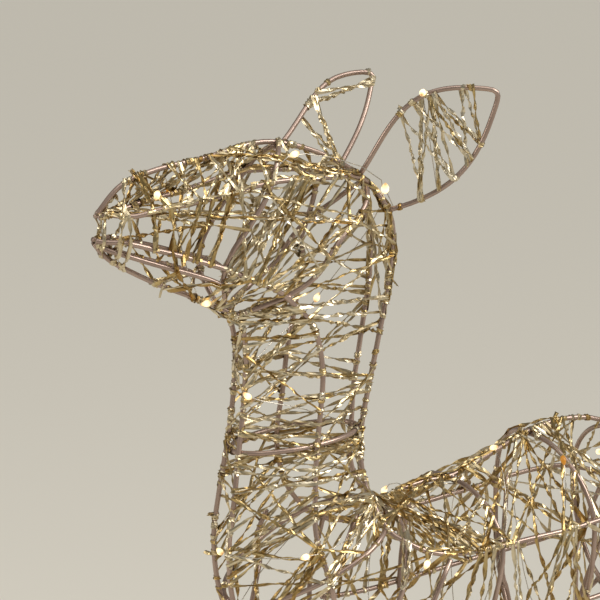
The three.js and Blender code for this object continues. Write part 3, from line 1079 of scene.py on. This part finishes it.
# %% Sheaves of the head
# Each sheaf has its stops of ring and angle, how many strips, and how far they stray in rings and degrees.
SHEAVES = {
    "strip_head": [
        ([(2.5, 3), (2.55, 60), (2.4, 78)], 1, (0.02, 2)),  # over the muzzle
        ([(2.85, 3), (2.8, 57), (2.8, 80)], 1, (0.02, 2)),
        ([(1.5, 10), (1.8, 66), (1.9, 112)], 1, (0.02, 2)),
        # under the brow, from the lips to behind the ear
        ([(0.5, 85), (2.1, 86), (3.3, 82), (4.1, 80), (4.6, 75), (5.2, 66), (5.8, 50)], 2, (0.02, 2)),
        ([(0.5, 92), (2.0, 93), (3.2, 90), (4.0, 88)], 1, (0.02, 1)),
        ([(0.6, 76), (1.5, 74), (3.0, 68), (4.6, 62), (5.6, 50)], 1, (0.03, 2)),
        ([(1.9, 80), (3.2, 64), (4.7, 40)], 2, (0.08, 4)),
        ([(2.7, 83), (2.4, 112)], 1, (0.02, 1)),  # down to the jaw
        ([(3.0, 80), (2.8, 114)], 1, (0.04, 2)),
        ([(3.3, 72), (3.0, 116)], 2, (0.05, 2)),
        ([(4.3, 66), (3.5, 118)], 3, (0.1, 2)),  # the fan on the cheek
        ([(4.4, 55), (4.1, 122)], 3, (0.16, 2)),
        ([(4.0, 62), (4.6, 78), (5.35, 92), (6.3, 100)], 1, (0.02, 1)),
        ([(4.6, 36), (4.35, 68), (4.6, 122)], 2, (0.12, 2)),
        ([(4.9, 44), (4.9, 84), (4.5, 122)], 2, (0.1, 3)),
        ([(3.8, 48), (4.0, 60), (4.55, 78), (5.45, 84), (5.75, 83), (6.3, 75)], 1, (0.02, 1)),
        ([(5.3, 60), (5.0, 90), (4.7, 118)], 2, (0.1, 3)),
        ([(5.9, 84), (5.3, 104), (4.9, 124)], 2, (0.1, 3)),
        ([(3.1, 18), (4.2, 40), (5.3, 30)], 2, (0.15, 8)),  # the thick crown
        ([(3.3, 2), (4.4, 44), (5.5, 6)], 1, (0.15, 6)),
        ([(3.6, 58), (4.6, 42), (5.4, 8)], 1, (0.12, 6)),
        ([(4.8, 2), (5.2, 30), (5.5, 60)], 1, (0.1, 6)),
        ([(1.1, 120), (1.15, 176)], 1, (0.03, 2)),  # the strap at the lip
        ([(2.2, 176), (3.0, 142), (3.9, 122)], 2, (0.08, 2)),
        ([(3.1, 174), (3.4, 133), (3.6, 118)], 2, (0.08, 2)),
    ],
}
print("strips in the head's sheaves", sum(count for _, count, _ in SHEAVES["strip_head"]))

# %% Sheaves of the neck and body
SHEAVES |= {
    "strip_neck": [
        ([(5.5, 8), (5.9, 16), (6.6, 24), (7.3, 26)], 7, (0.18, 9)),  # down behind the head
        ([(5.6, 60), (6.2, 24), (7.0, 20)], 3, (0.15, 5)),
        ([(4.9, 166), (5.6, 150), (6.3, 124)], 3, (0.12, 3)),  # from the throat upwards
        ([(5.2, 166), (6.2, 142), (6.7, 112)], 3, (0.12, 3)),
        ([(6.6, 24), (6.0, 90), (5.4, 150)], 1, (0.12, 3)),
        ([(7.3, 24), (6.5, 100), (5.4, 158)], 2, (0.12, 3)),
        ([(6.7, 164), (7.0, 132), (7.2, 104)], 2, (0.1, 3)),
        ([(4.6, 178), (4.9, 150), (5.4, 166)], 3, (0.08, 3)),
        ([(7.5, 165), (7.7, 130), (8.0, 95), (8.7, 26)], 2, (0.06, 2)),  # across the neck
        ([(7.0, 150), (7.75, 128), (9.0, 92)], 1, (0.03, 2)),
        ([(8.6, 165), (7.8, 128), (7.4, 100)], 1, (0.03, 2)),
        ([(8.5, 164), (8.7, 112), (8.7, 92), (9.0, 24)], 2, (0.08, 3)),
        ([(9.3, 163), (9.5, 127), (9.9, 90), (10.1, 22)], 2, (0.06, 3)),
        ([(10.2, 162), (10.1, 123), (10.3, 88), (10.2, 22)], 2, (0.1, 3)),
        ([(10.4, 150), (10.7, 88), (10.5, 24)], 2, (0.15, 4)),
        ([(10.9, 175), (10.7, 120), (10.9, 90), (11.4, 27)], 2, (0.05, 2)),
        ([(9.6, 24), (10.7, 14)], 3, (0.15, 4)),
        ([(11.2, 96), (12.2, 162)], 9, (0.4, 3)),  # the fine parallel strips on the chest
        ([(11.0, 162), (12.0, 112), (12.3, 98), (13.4, 66)], 1, (0.03, 2)),
        ([(11.4, 172), (12.0, 164), (12.5, 126), (13.0, 108)], 1, (0.03, 2)),
        ([(11.3, 90), (11.8, 50), (12.0, 28)], 3, (0.2, 5)),
    ],
    "strip_body": [
        ([(12.2, 34), (12.7, 60), (13.1, 104)], 5, (0.2, 4)),  # from the withers down the shoulder
        ([(12.6, 10), (13.3, 30), (13.9, 60), (14.5, 90)], 5, (0.25, 4)),
        ([(13.0, 5), (14.0, 12), (15.4, 40), (16.2, 72)], 5, (0.25, 6)),  # along the back
        ([(13.6, 3), (14.6, 26), (15.6, 70)], 4, (0.3, 5)),
        ([(14.0, 0), (15.4, 10), (16.6, 0)], 3, (0.3, 5)),
        ([(12.4, 104), (13.4, 148), (13.9, 168)], 6, (0.25, 4)),  # the chest goes on
        ([(15.0, 35), (15.1, 70), (15.5, 112)], 2, (0.06, 2)),  # down the flank
        ([(15.7, 45), (15.9, 72), (15.9, 118)], 2, (0.06, 2)),
        ([(16.1, 72), (16.3, 116)], 2, (0.06, 2)),
        ([(16.5, 70), (17.0, 116)], 2, (0.08, 2)),
        ([(17.6, 78), (17.3, 114)], 1, (0.03, 2)),
        ([(17.8, 78), (17.9, 114)], 1, (0.03, 2)),
        ([(16.3, 0), (17.8, 78)], 2, (0.06, 2)),
        ([(17.7, 0), (16.3, 72)], 2, (0.15, 2)),
        ([(16.2, 74), (17.1, 60), (17.9, 78)], 1, (0.03, 2)),
        ([(18.6, 0), (17.6, 78), (18.2, 114)], 2, (0.15, 2)),
        ([(18.2, 0), (19.0, 78), (18.8, 115)], 2, (0.2, 2)),
    ],
}
for node, sheaves in SHEAVES.items():
    print(node, "strips in sheaves", sum(count for _, count, _ in sheaves))

# %% Knots
# Scattered knots by chance over some rings, and own ones at a ring and angle with a number of turns.
KNOTS = {
    "strip_head": {
        "rings": (0.3, 5.3),
        "count": 20,
        "own": [(4.4, 168, 4), (4.8, 162, 4), (0.3, 70, 4), (0.3, 150, 4), (3.5, 0, 3)],
    },
    "strip_neck": {
        "rings": (5.6, 12.4),
        "count": 22,
        "own": [(8.0, 95, 3), (8.6, 93, 3), (10.6, 92, 4), (6.9, 110, 4)],
    },
    "strip_body": {
        "rings": (12.8, 21.8),
        "count": 36,
        "own": [(13.0, 30, 3), (16.2, 72, 4), (17.8, 78, 4)],
    },
}
OWN_KNOT = {"width": 2.0, "spread": 1.6}
print("knots", sum(knots["count"] + len(knots["own"]) for knots in KNOTS.values()))

# %% Wind the head, neck and body
FAR_SHIFT = (0.14, 5.0)
FAR_SHARE = 0.6
FAR_SPREAD = 1.4
# The share of the rods that a strip passes behind.
BEHIND = {"strip_head": 0.2, "strip_neck": 0.6, "strip_body": 0.4, "legs": 0.4}

strips = []
for node, zones in ZONES.items():
    pile = Pile()
    behind = BEHIND[node]
    used = sum(wind_zone(pile, body_cage, behind=behind, rng=rng, **zone) for zone in zones)
    for stops, count, spread in SHEAVES[node]:
        spread = np.array(spread)
        sheaf(pile, body_cage, stops, count, spread, behind, rng)
        shift = rng.normal(0, 1, 2) * FAR_SHIFT
        far = [(s + shift[0], -angle + shift[1]) for s, angle in stops]
        sheaf(pile, body_cage, far, math.ceil(count * FAR_SHARE), FAR_SPREAD * spread, behind, rng)
    scatter_knots(pile, body_cage, KNOTS[node]["rings"], KNOTS[node]["count"], rng)
    for s, angle, turns in KNOTS[node]["own"]:
        knot(pile, body_cage.station(s, angle), turns, rng, **OWN_KNOT)
    strips.append(film_piece(pile, node))
    print(node, "walks", round(used / METRE, 1), "m")

# %% [markdown]
# The legs are plainer: each is a cage of its own with three rods and no hoops that strip rests on. Two zones,
# the thigh and the shank, are wound by walks alone, with a few knots. One loop makes all four, so they have
# the same amount of strip and yet no two are alike.

# %% Wind the legs
LEG_ZONES = [
    {"rings": (0.9, 3.2), "arc": ALL_ROUND, "metres": 1.3, "slants": (15, 65)},
    {"rings": (2.8, 5.85), "arc": ALL_ROUND, "metres": 1.1, "slants": (15, 65)},
]
LEG_KNOTS = 14
LEG_KNOT_RINGS = (1.2, 5.8)
LEG_NAMES = {
    "strip_front_leg_left": (FRONT_LEG, LEFT),
    "strip_hind_leg_left": (HIND_LEG, LEFT),
    "strip_front_leg_right": (FRONT_LEG, RIGHT),
    "strip_hind_leg_right": (HIND_LEG, RIGHT),
}
leg_rods = [np.array([(s, angle) for s in np.linspace(0, 6, 13)]) for angle in LEG_ANGLES]


def leg_cage(leg, side):
    """The cage of one leg: three rods, on the leg's own surface."""

    def surface(s, angle, lift=0.0):
        return on_leg(leg, side, s, angle, lift)

    return Cage(surface, leg_rods)


for node, (leg, side) in LEG_NAMES.items():
    cage = leg_cage(leg, side)
    pile = Pile()
    used = sum(wind_zone(pile, cage, behind=BEHIND["legs"], rng=rng, **zone) for zone in LEG_ZONES)
    scatter_knots(pile, cage, LEG_KNOT_RINGS, LEG_KNOTS, rng)
    strips.append(film_piece(pile, node))
    print(node, "walks", round(used / METRE, 1), "m")

# %% [markdown]
# The ears and the tail are loops like leaves, laced from edge to edge. Here a strip mostly turns about an
# edge rod from one face to the other, so its side changes at most stations and by chance stays at the rest.
# The stops are places on the edges, front and back in turn, from 0 at the seat to 1 at the tip.

# %% Lacings
LACINGS = {
    "strip_ear_left": {
        "leaf": "left_ear",
        "runs": [
            (0.41, 0.40, 0.50, 0.58, 0.66, 0.68, 0.83, 0.52),
            (0.47, 0.20, 0.59, 0.18, 0.62, 0.29, 0.64, 0.41),
            (0.83, 0.67, 0.60, 0.56),
        ],
        "knots": [(0.51, 1), (0.61, 1), (0.41, 1), (0.06, -1), (0.42, -1), (0.68, -1), (0.18, -1)],
    },
    "strip_ear_right": {
        "leaf": "right_ear",
        "runs": [
            (0.25, 0.10, 0.45, 0.03, 0.58, 0.10),
            (0.62, 0.86, 0.55, 0.94),
        ],
        "knots": [(0.97, 1), (0.94, -1), (0.90, -1), (0.72, 1), (0.64, 1), (0.58, 1)],
    },
    "strip_tail": {
        "leaf": "tail",
        "runs": [
            (0.20, 0.30, 0.50, 0.40, 0.70, 0.60, 0.85, 0.80),
            (0.80, 0.40, 0.60, 0.20, 0.40, 0.25, 0.30, 0.10),
        ],
        "knots": [(0.9, 1), (0.3, -1)],
    },
}
print("lacings", {node: len(lacing["runs"]) for node, lacing in LACINGS.items()})

# %% Lace the ears and tail
LACE_WIDTH = 2.5
LACE_TWIST = 11.0
LACE_TAILS = (4.0, 0.0)
LACE_TONES = (0.1, 0.85)
LACE_STRAYS = 0.012
LACE_COILS = 0.45
LACE_STAYS = 0.35  # chance that the next station is on the same face
LACE_KNOT = 2.5
LEAF_LOOK = 0.03  # to either side for an edge's direction, but never past its ends
LEAF_ENDS = (0.01, 0.99)


def leaf_face(leaf):
    """The way that a leaf faces."""
    a = leaf_point(leaf, 0.5, 1)[0]
    b = leaf_point(leaf, 0.5, -1)[0]
    return unit(np.cross(np.array(leaf["tip"]) - (a + b) / 2, a - b))


def leaf_station(leaf, t, edge, face, wraps=0):
    """A station on an edge of a leaf, on the face given."""
    place = leaf_point(leaf, t, edge)[0]
    ahead = leaf_point(leaf, min(t + LEAF_LOOK, LEAF_ENDS[1]), edge)[0]
    back = leaf_point(leaf, max(t - LEAF_LOOK, LEAF_ENDS[0]), edge)[0]
    return Station(place, unit(ahead - back), face, wraps)


def lace(leaf, places, face, rng):
    """Stations of a strip that goes from edge to edge of a leaf through places on its edges."""
    side = rng.choice((-1, 1))
    stations = []
    for k, t in enumerate(places):
        near_t = t + rng.normal(0, LACE_STRAYS)
        coils = int(rng.random() < LACE_COILS)
        stations.append(leaf_station(leaf, near_t, -1 if k % 2 else 1, face * side, coils))
        side = side if rng.random() < LACE_STAYS else -side
    return stations


for node, lacing in LACINGS.items():
    leaf = LEAVES[lacing["leaf"]]
    face = leaf_face(leaf)
    pile = Pile()
    for places in lacing["runs"]:
        stations = lace(leaf, places, face, rng)
        tone = rng.uniform(*LACE_TONES)
        add_strip(pile, stations, rng, LACE_TWIST, LACE_WIDTH, LACE_TAILS, tone)
    for t, edge in lacing["knots"]:
        knot(pile, leaf_station(leaf, t, edge, face), LACE_KNOT, rng)
    strips.append(film_piece(pile, node))

# %% [markdown]
# The lamps are clear drops of resin over a tiny light, strung on one thin silver wire that winds through the
# cage from the croup to the muzzle. Most burn a warm white, and a few look amber where they face away. The
# drop is turned from a profile, fatter towards one end, and lies nearly along the wire. Between two lamps
# the wire runs inside the cage, and at each lamp it comes out between the rods.

# %% Route of the lamp wire
LAMP_STOPS = [
    (20.6, -60), (19.5, 75), (18.8, 215), (17.9, 398), (17.4, 560), (17, 720), (16.2, 860), (15.6, 1020),
    (14.6, 1158), (13.8, 1300), (12.3, 1550), (12, 1612), (11, 1750), (8.2, 1956), (7.2, 2090), (5.7, 2164),
    (4.2, 2190), (3.2, 2320), (2.6, 2460), (1.8, 2574),
]  # ring and angle of each lamp; the angle keeps growing as the wire winds round
EAR_BASE_LAMP = 15
WIRE_BEND = 50.0  # degrees round the body between the wire's bends
WIRE_SINK = 4.2  # the wire runs this far inside the rods' middle
WIRE_SINK_PER_WIDTH = 0.1  # and further in where the cage is wider
LAMP_LIFT = 2.6
EAR_BASE_LIFT = 5.0
BEND_POINTS = 4


def wire_point(s, angle, lift=None):
    """A point of the wire: inside the cage, or at a lamp with the lift given."""
    half = between(BODY, s)[0, 4]
    sink = -WIRE_SINK - WIRE_SINK_PER_WIDTH * half
    return on_body(s, angle, sink if lift is None else lift)[0]


wire_run = []
lamp_places = []
for i, (s, angle) in enumerate(LAMP_STOPS):
    if i:
        from_s, from_angle = LAMP_STOPS[i - 1]
        bends = max(1, round((angle - from_angle) / WIRE_BEND))
        for k in np.arange(1, bends) / bends:
            wire_run.append(wire_point(from_s + (s - from_s) * k, from_angle + (angle - from_angle) * k))
    wire_run.append(wire_point(s, angle, EAR_BASE_LIFT if i == EAR_BASE_LAMP else LAMP_LIFT))
    lamp_places.append(wire_run[-1])
wire_run = np.array(wire_run)
fine_run = between(wire_run, np.linspace(0, len(wire_run) - 1, len(wire_run) * BEND_POINTS))
print("bends", len(wire_run), "lamps on the run", len(lamp_places))

# %% Spur up the ear
EAR_EXIT = (6.1, 0, 5)  # ring, angle and lift where the wire leaves the neck
EAR_WIRE = [(0.2, -1), (0.6, 1), (0.3, -1)]  # places on the ear's back and front edges
EAR_WIRE_OFF = np.array([0, 2.2, 0])
EAR_LAMP = 3  # which point of the spur carries the lamp
EAR_LAMP_OFF = np.array([-2.0, -3.0, 1.5])
EAR_LAMP_WAY = np.array([1.0, 0.0, 0.3])
ear_run = [lamp_places[EAR_BASE_LAMP], on_body(*EAR_EXIT)[0]]
ear_run += [leaf_point(LEAVES["left_ear"], t, edge)[0] + EAR_WIRE_OFF for t, edge in EAR_WIRE]
ear_run = np.array(ear_run)


def length_of(path):
    return np.linalg.norm(np.diff(path, axis=0), axis=1).sum()


print("wire", round(length_of(fine_run) + length_of(ear_run)), "mm")

# %% Drop of a lamp
LAMP_PROFILE = [
    (0.0, 0.4, 0.1), (0.6, 1.15, 0.4), (1.9, 1.75, 0.9), (3.3, 1.7, 1.0), (4.9, 1.1, 0.6), (6.1, 0.4, 0.2),
]  # along the drop, its radius there, and how brightly it burns
LAMP_MIDDLE = 2.8
LAMP_SIDES = 12
LAMP_LEANS = 0.35
NOT_ALONG = (0.2, 0.9, 0.3)  # a direction that no lamp has


def lamp(pile, place, way, rng, tone, size=1.0):
    """A drop of clear resin on the wire, turned from its profile."""
    along = unit(way + rng.normal(0, LAMP_LEANS, 3))
    side = unit(np.cross(along, NOT_ALONG))
    other = np.cross(along, side)
    around = LAMP_SIDES
    turn = np.linspace(0, 2 * math.pi, around, endpoint=False)
    ring = side[None] * np.cos(turn)[:, None] + other[None] * np.sin(turn)[:, None]
    rings = [place + (along * (x - LAMP_MIDDLE) + ring * r) * size for x, r, _ in LAMP_PROFILE]
    glow = np.repeat([burn for _, _, burn in LAMP_PROFILE], around)
    faces = []
    for i in range(0, (len(LAMP_PROFILE) - 1) * around, around):
        for j in range(around):
            k = (j + 1) % around
            faces.append((i + j, i + k, i + around + k, i + around + j))
    faces.append(tuple(range(around - 1, -1, -1)))
    last = (len(LAMP_PROFILE) - 1) * around
    faces.append(tuple(range(last, last + around)))
    pile.add(np.concatenate(rings), faces, glow * tone)


print("a drop is", LAMP_PROFILE[-1][0], "mm long")

# %% Wire and lamps
WIRE_RADIUS = 0.27
WIRE_SIDES = 5
AMBER_LAMPS = (3, 18)
WARM_TONES = (0.7, 1.0)
EAR_BASE_SIZE = 1.3
wire_pile = Pile()
wire_pile.add(*tube(fine_run, WIRE_RADIUS, WIRE_SIDES))
for a, b in zip(ear_run[:-1], ear_run[1:]):
    wire_pile.add(*tube(np.linspace(a, b, 3), WIRE_RADIUS, WIRE_SIDES))
lamp_pile = Pile()
for i, place in enumerate(lamp_places):
    bend = int(np.argmin(np.linalg.norm(fine_run - place, axis=1)))
    way = fine_run[min(bend + 1, len(fine_run) - 1)] - fine_run[max(bend - 1, 0)]
    tone = 0.0 if i in AMBER_LAMPS else rng.uniform(*WARM_TONES)
    lamp(lamp_pile, place, unit(way), rng, tone, EAR_BASE_SIZE if i == EAR_BASE_LAMP else 1.0)
lamp(lamp_pile, ear_run[EAR_LAMP] + EAR_LAMP_OFF, EAR_LAMP_WAY, rng, 1.0)
lamp_wire = wire_pile.build("lamp_wire")
lamps = lamp_pile.build("lamps")
for piece, slot in ((lamp_wire, "metallised_strip"), (lamps, "lamps")):
    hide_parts("lamp_string")
    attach(piece, "root")
print("lamps", len(lamp_places) + 1)

# %% [markdown]
# Real metal is never one colour. One shader group makes a slow drift of tone and a fine grain from noise, and
# is used both for the rod paint, where it gives worn and dusty places, and for the film, where it gives
# crinkles. The film's main change of tone is per strip: pale silver, champagne, gold or amber.

# %% Grain group
DRIFT_DETAIL = 2.0
GRAIN_DETAIL = 3.0


def noise_group():
    """A node group that gives a slow drift and a fine grain between 0 and 1, each at a scale of its own."""
    group = bpy.data.node_groups.new("grain", "ShaderNodeTree")
    for name, way in (("Coarse", "INPUT"), ("Fine", "INPUT"), ("Drift", "OUTPUT"), ("Grain", "OUTPUT")):
        group.interface.new_socket(name, in_out=way, socket_type="NodeSocketFloat")
    nodes = group.nodes
    links = group.links
    given = nodes.new("NodeGroupInput")
    out = nodes.new("NodeGroupOutput")
    place = nodes.new("ShaderNodeTexCoord")
    for name, output, detail in (("Coarse", "Drift", DRIFT_DETAIL), ("Fine", "Grain", GRAIN_DETAIL)):
        noise = nodes.new("ShaderNodeTexNoise")
        noise.inputs["Detail"].default_value = detail
        links.new(place.outputs["Object"], noise.inputs["Vector"])
        links.new(given.outputs[name], noise.inputs["Scale"])
        links.new(noise.outputs["Fac"], out.inputs[output])
    return group


grain = noise_group()
print("grain group gives", [item.name for item in grain.interface.items_tree if item.in_out == "OUTPUT"])

# %% [markdown]
# A metal here is a Principled BSDF with the grain group in front of it. The drift, or for film a mix of drift
# and the strip's own tone, picks a colour from a ramp. The grain shifts the roughness a little and gives a
# very low relief, so that highlights break up as they do on brushed paint and on crinkled film.

# %% A metal
DRIFT_IN_STRIP = 0.35
RELIEF = 0.0004


def colour_ramp(nodes, stops):
    """A ramp node with the colours of a list of stops."""
    ramp = nodes.new("ShaderNodeValToRGB")
    while len(ramp.color_ramp.elements) < len(stops):
        ramp.color_ramp.elements.new(0.5)
    for element, (stop, colour) in zip(ramp.color_ramp.elements, stops):
        element.position = stop
        element.color = (*colour, 1)
    return ramp


def metal_material(name, colours, metallic, roughness, coarse, fine, bump, by_strip):
    """A metal whose colour runs through a ramp, by strip tone and drift, with grain in its relief."""
    material = bpy.data.materials.new(name)
    material.use_nodes = True
    nodes = material.node_tree.nodes
    links = material.node_tree.links
    shader = nodes["Principled BSDF"]
    shader.inputs["Metallic"].default_value = metallic
    texture = nodes.new("ShaderNodeGroup")
    texture.node_tree = grain
    texture.inputs["Coarse"].default_value = coarse
    texture.inputs["Fine"].default_value = fine
    ramp = colour_ramp(nodes, colours)
    if by_strip:
        tone = nodes.new("ShaderNodeAttribute")
        tone.attribute_name = "tone"
        mixed = nodes.new("ShaderNodeMix")
        mixed.inputs["Factor"].default_value = DRIFT_IN_STRIP
        links.new(tone.outputs["Fac"], mixed.inputs["A"])
        links.new(texture.outputs["Drift"], mixed.inputs["B"])
        links.new(mixed.outputs["Result"], ramp.inputs["Fac"])
    else:
        links.new(texture.outputs["Drift"], ramp.inputs["Fac"])
    links.new(ramp.outputs["Color"], shader.inputs["Base Color"])
    spread = nodes.new("ShaderNodeMapRange")
    spread.inputs["To Min"].default_value = roughness[0]
    spread.inputs["To Max"].default_value = roughness[1]
    links.new(texture.outputs["Grain"], spread.inputs["Value"])
    links.new(spread.outputs["Result"], shader.inputs["Roughness"])
    relief = nodes.new("ShaderNodeBump")
    relief.inputs["Strength"].default_value = bump
    relief.inputs["Distance"].default_value = RELIEF
    links.new(texture.outputs["Grain"], relief.inputs["Height"])
    links.new(relief.outputs["Normal"], shader.inputs["Normal"])
    return material


print("film colour is", DRIFT_IN_STRIP, "drift and the rest the strip's tone")

# %% Paint, film and wire
rod_paint = metal_material(
    "rose_taupe_paint",
    colours=[(0.3, (0.35, 0.25, 0.205)), (0.7, (0.48, 0.355, 0.29))],
    metallic=0.55, roughness=(0.2, 0.3), coarse=60.0, fine=900.0, bump=0.1, by_strip=False,
)
film = metal_material(
    "metallised_film",
    colours=[
        (0.12, (0.36, 0.20, 0.05)),  # amber
        (0.35, (0.55, 0.41, 0.185)),  # gold
        (0.6, (0.68, 0.58, 0.39)),  # champagne
        (0.85, (0.81, 0.75, 0.62)),  # pale silver
    ],
    metallic=1.0, roughness=(0.24, 0.36), coarse=90.0, fine=400.0, bump=0.25, by_strip=True,
)
wire_metal = metal_material(
    "silver_wire",
    colours=[(0.3, (0.60, 0.55, 0.46)), (0.7, (0.75, 0.70, 0.62))],
    metallic=1.0, roughness=(0.2, 0.35), coarse=60.0, fine=900.0, bump=0.1, by_strip=False,
)
wire_frame.data.materials.append(rod_paint)
lamp_wire.data.materials.append(wire_metal)
for piece in strips:
    piece.data.materials.append(film)
print("metals", rod_paint.name, film.name, wire_metal.name)

# %% [markdown]
# A lit drop shows no texture, only light: brightest in its fat middle and dimmer at both ends. Each point of
# the drop carries how brightly it burns, and a ramp turns that into deep amber or warm white, which both the
# resin's own colour and its glow use. A real lamp inside clear resin would need far more samples.

# %% Lit resin
AMBER = (0.22, 0.09, 0.01)
WARM_WHITE = (1.0, 0.80, 0.45)
FULL_BURN = 0.9
LAMP_STRENGTH = 1.9
RESIN_ROUGHNESS = 0.15
resin = bpy.data.materials.new("lit_resin")
resin.use_nodes = True
resin_shader = resin.node_tree.nodes["Principled BSDF"]
resin_shader.inputs["Roughness"].default_value = RESIN_ROUGHNESS
lamp_tone = resin.node_tree.nodes.new("ShaderNodeAttribute")
lamp_tone.attribute_name = "tone"
glow = colour_ramp(resin.node_tree.nodes, [(0.0, AMBER), (FULL_BURN, WARM_WHITE)])
resin.node_tree.links.new(lamp_tone.outputs["Fac"], glow.inputs["Fac"])
resin.node_tree.links.new(glow.outputs["Color"], resin_shader.inputs["Emission Color"])
resin.node_tree.links.new(glow.outputs["Color"], resin_shader.inputs["Base Color"])
resin_shader.inputs["Emission Strength"].default_value = LAMP_STRENGTH
lamps.data.materials.append(resin)
print("materials", [m.name for m in bpy.data.materials])

# %% [markdown]
# The stage is a plain pale floor that reaches far enough behind the animal to fill the picture. It is one big
# square, matt and of one colour, so that nothing takes the eye from the metal.

# %% Floor
FLOOR_REACH = 14.0
PALE_SAND = (0.775, 0.745, 0.665, 1)
MATT = 0.9
floor_mesh = bpy.data.meshes.new("floor")
corners = [(x * FLOOR_REACH, y * FLOOR_REACH, 0) for x, y in ((-1, -1), (1, -1), (1, 1), (-1, 1))]
floor_mesh.from_pydata(corners, [], [(0, 1, 2, 3)])
floor = bpy.data.objects.new("floor", floor_mesh)
bpy.context.scene.collection.objects.link(floor)
pale_floor = bpy.data.materials.new("pale_floor")
pale_floor.use_nodes = True
floor_shader = pale_floor.node_tree.nodes["Principled BSDF"]
floor_shader.inputs["Base Color"].default_value = PALE_SAND
floor_shader.inputs["Roughness"].default_value = MATT
floor_mesh.materials.append(pale_floor)
print("floor is", 2 * FLOOR_REACH, "m wide")

# %% [markdown]
# Metal shows what is round it. A very wide sun from the camera's right gives the long bright line that runs
# down one side of every rod, two soft area lights fill in from the left and from above, and the dim
# surroundings give the strip its dark sides. The Standard view keeps the pale floor as pale as it is.

# %% Surroundings and lights
SURROUNDINGS = (0.78, 0.76, 0.70, 1)
SURROUNDINGS_STRENGTH = 0.24
SUN_STRENGTH = 2.3
SUN_WIDTH = 40  # degrees
SUN_TURN = 42
SUN_TILT = 42
NEARLY_WHITE = (1.0, 0.98, 0.95)
WARM = (1.0, 0.96, 0.9)
NECK_HEIGHT = 420.0
world = bpy.data.worlds.new("world")
world.use_nodes = True
world.node_tree.nodes["Background"].inputs["Color"].default_value = SURROUNDINGS
world.node_tree.nodes["Background"].inputs["Strength"].default_value = SURROUNDINGS_STRENGTH
bpy.context.scene.world = world
bpy.context.scene.view_settings.view_transform = "Standard"


def turned_to(turn, tilt):
    """The rotation of a light that shines from an angle round and an angle up."""
    return math.pi / 2 - math.radians(tilt), 0, math.radians(turn)


def soft_light(name, turn, tilt, distance, size, watts, colour):
    """A square area light that faces the animal's neck, placed by its angles about it."""
    middle = np.array([FRAME_SHIFT, 0.0, NECK_HEIGHT]) * MM
    data = bpy.data.lights.new(name, "AREA")
    data.shape = "SQUARE"
    data.size = size
    data.energy = watts
    data.color = colour
    light = bpy.data.objects.new(name, data)
    light.location = middle + away_at(math.radians(turn), math.radians(tilt)) * distance
    light.rotation_euler = turned_to(turn, tilt)
    bpy.context.scene.collection.objects.link(light)


day = bpy.data.lights.new("daylight", "SUN")
day.energy = SUN_STRENGTH
day.angle = math.radians(SUN_WIDTH)
day.color = NEARLY_WHITE
daylight = bpy.data.objects.new("daylight", day)
daylight.rotation_euler = turned_to(SUN_TURN, SUN_TILT)
bpy.context.scene.collection.objects.link(daylight)
soft_light("left_fill", turn=-100, tilt=20, distance=1.4, size=0.5, watts=4, colour=WARM)
soft_light("top", turn=-20, tilt=75, distance=1.6, size=1.2, watts=7, colour=NEARLY_WHITE)
print("lights", [light.name for light in bpy.data.lights])
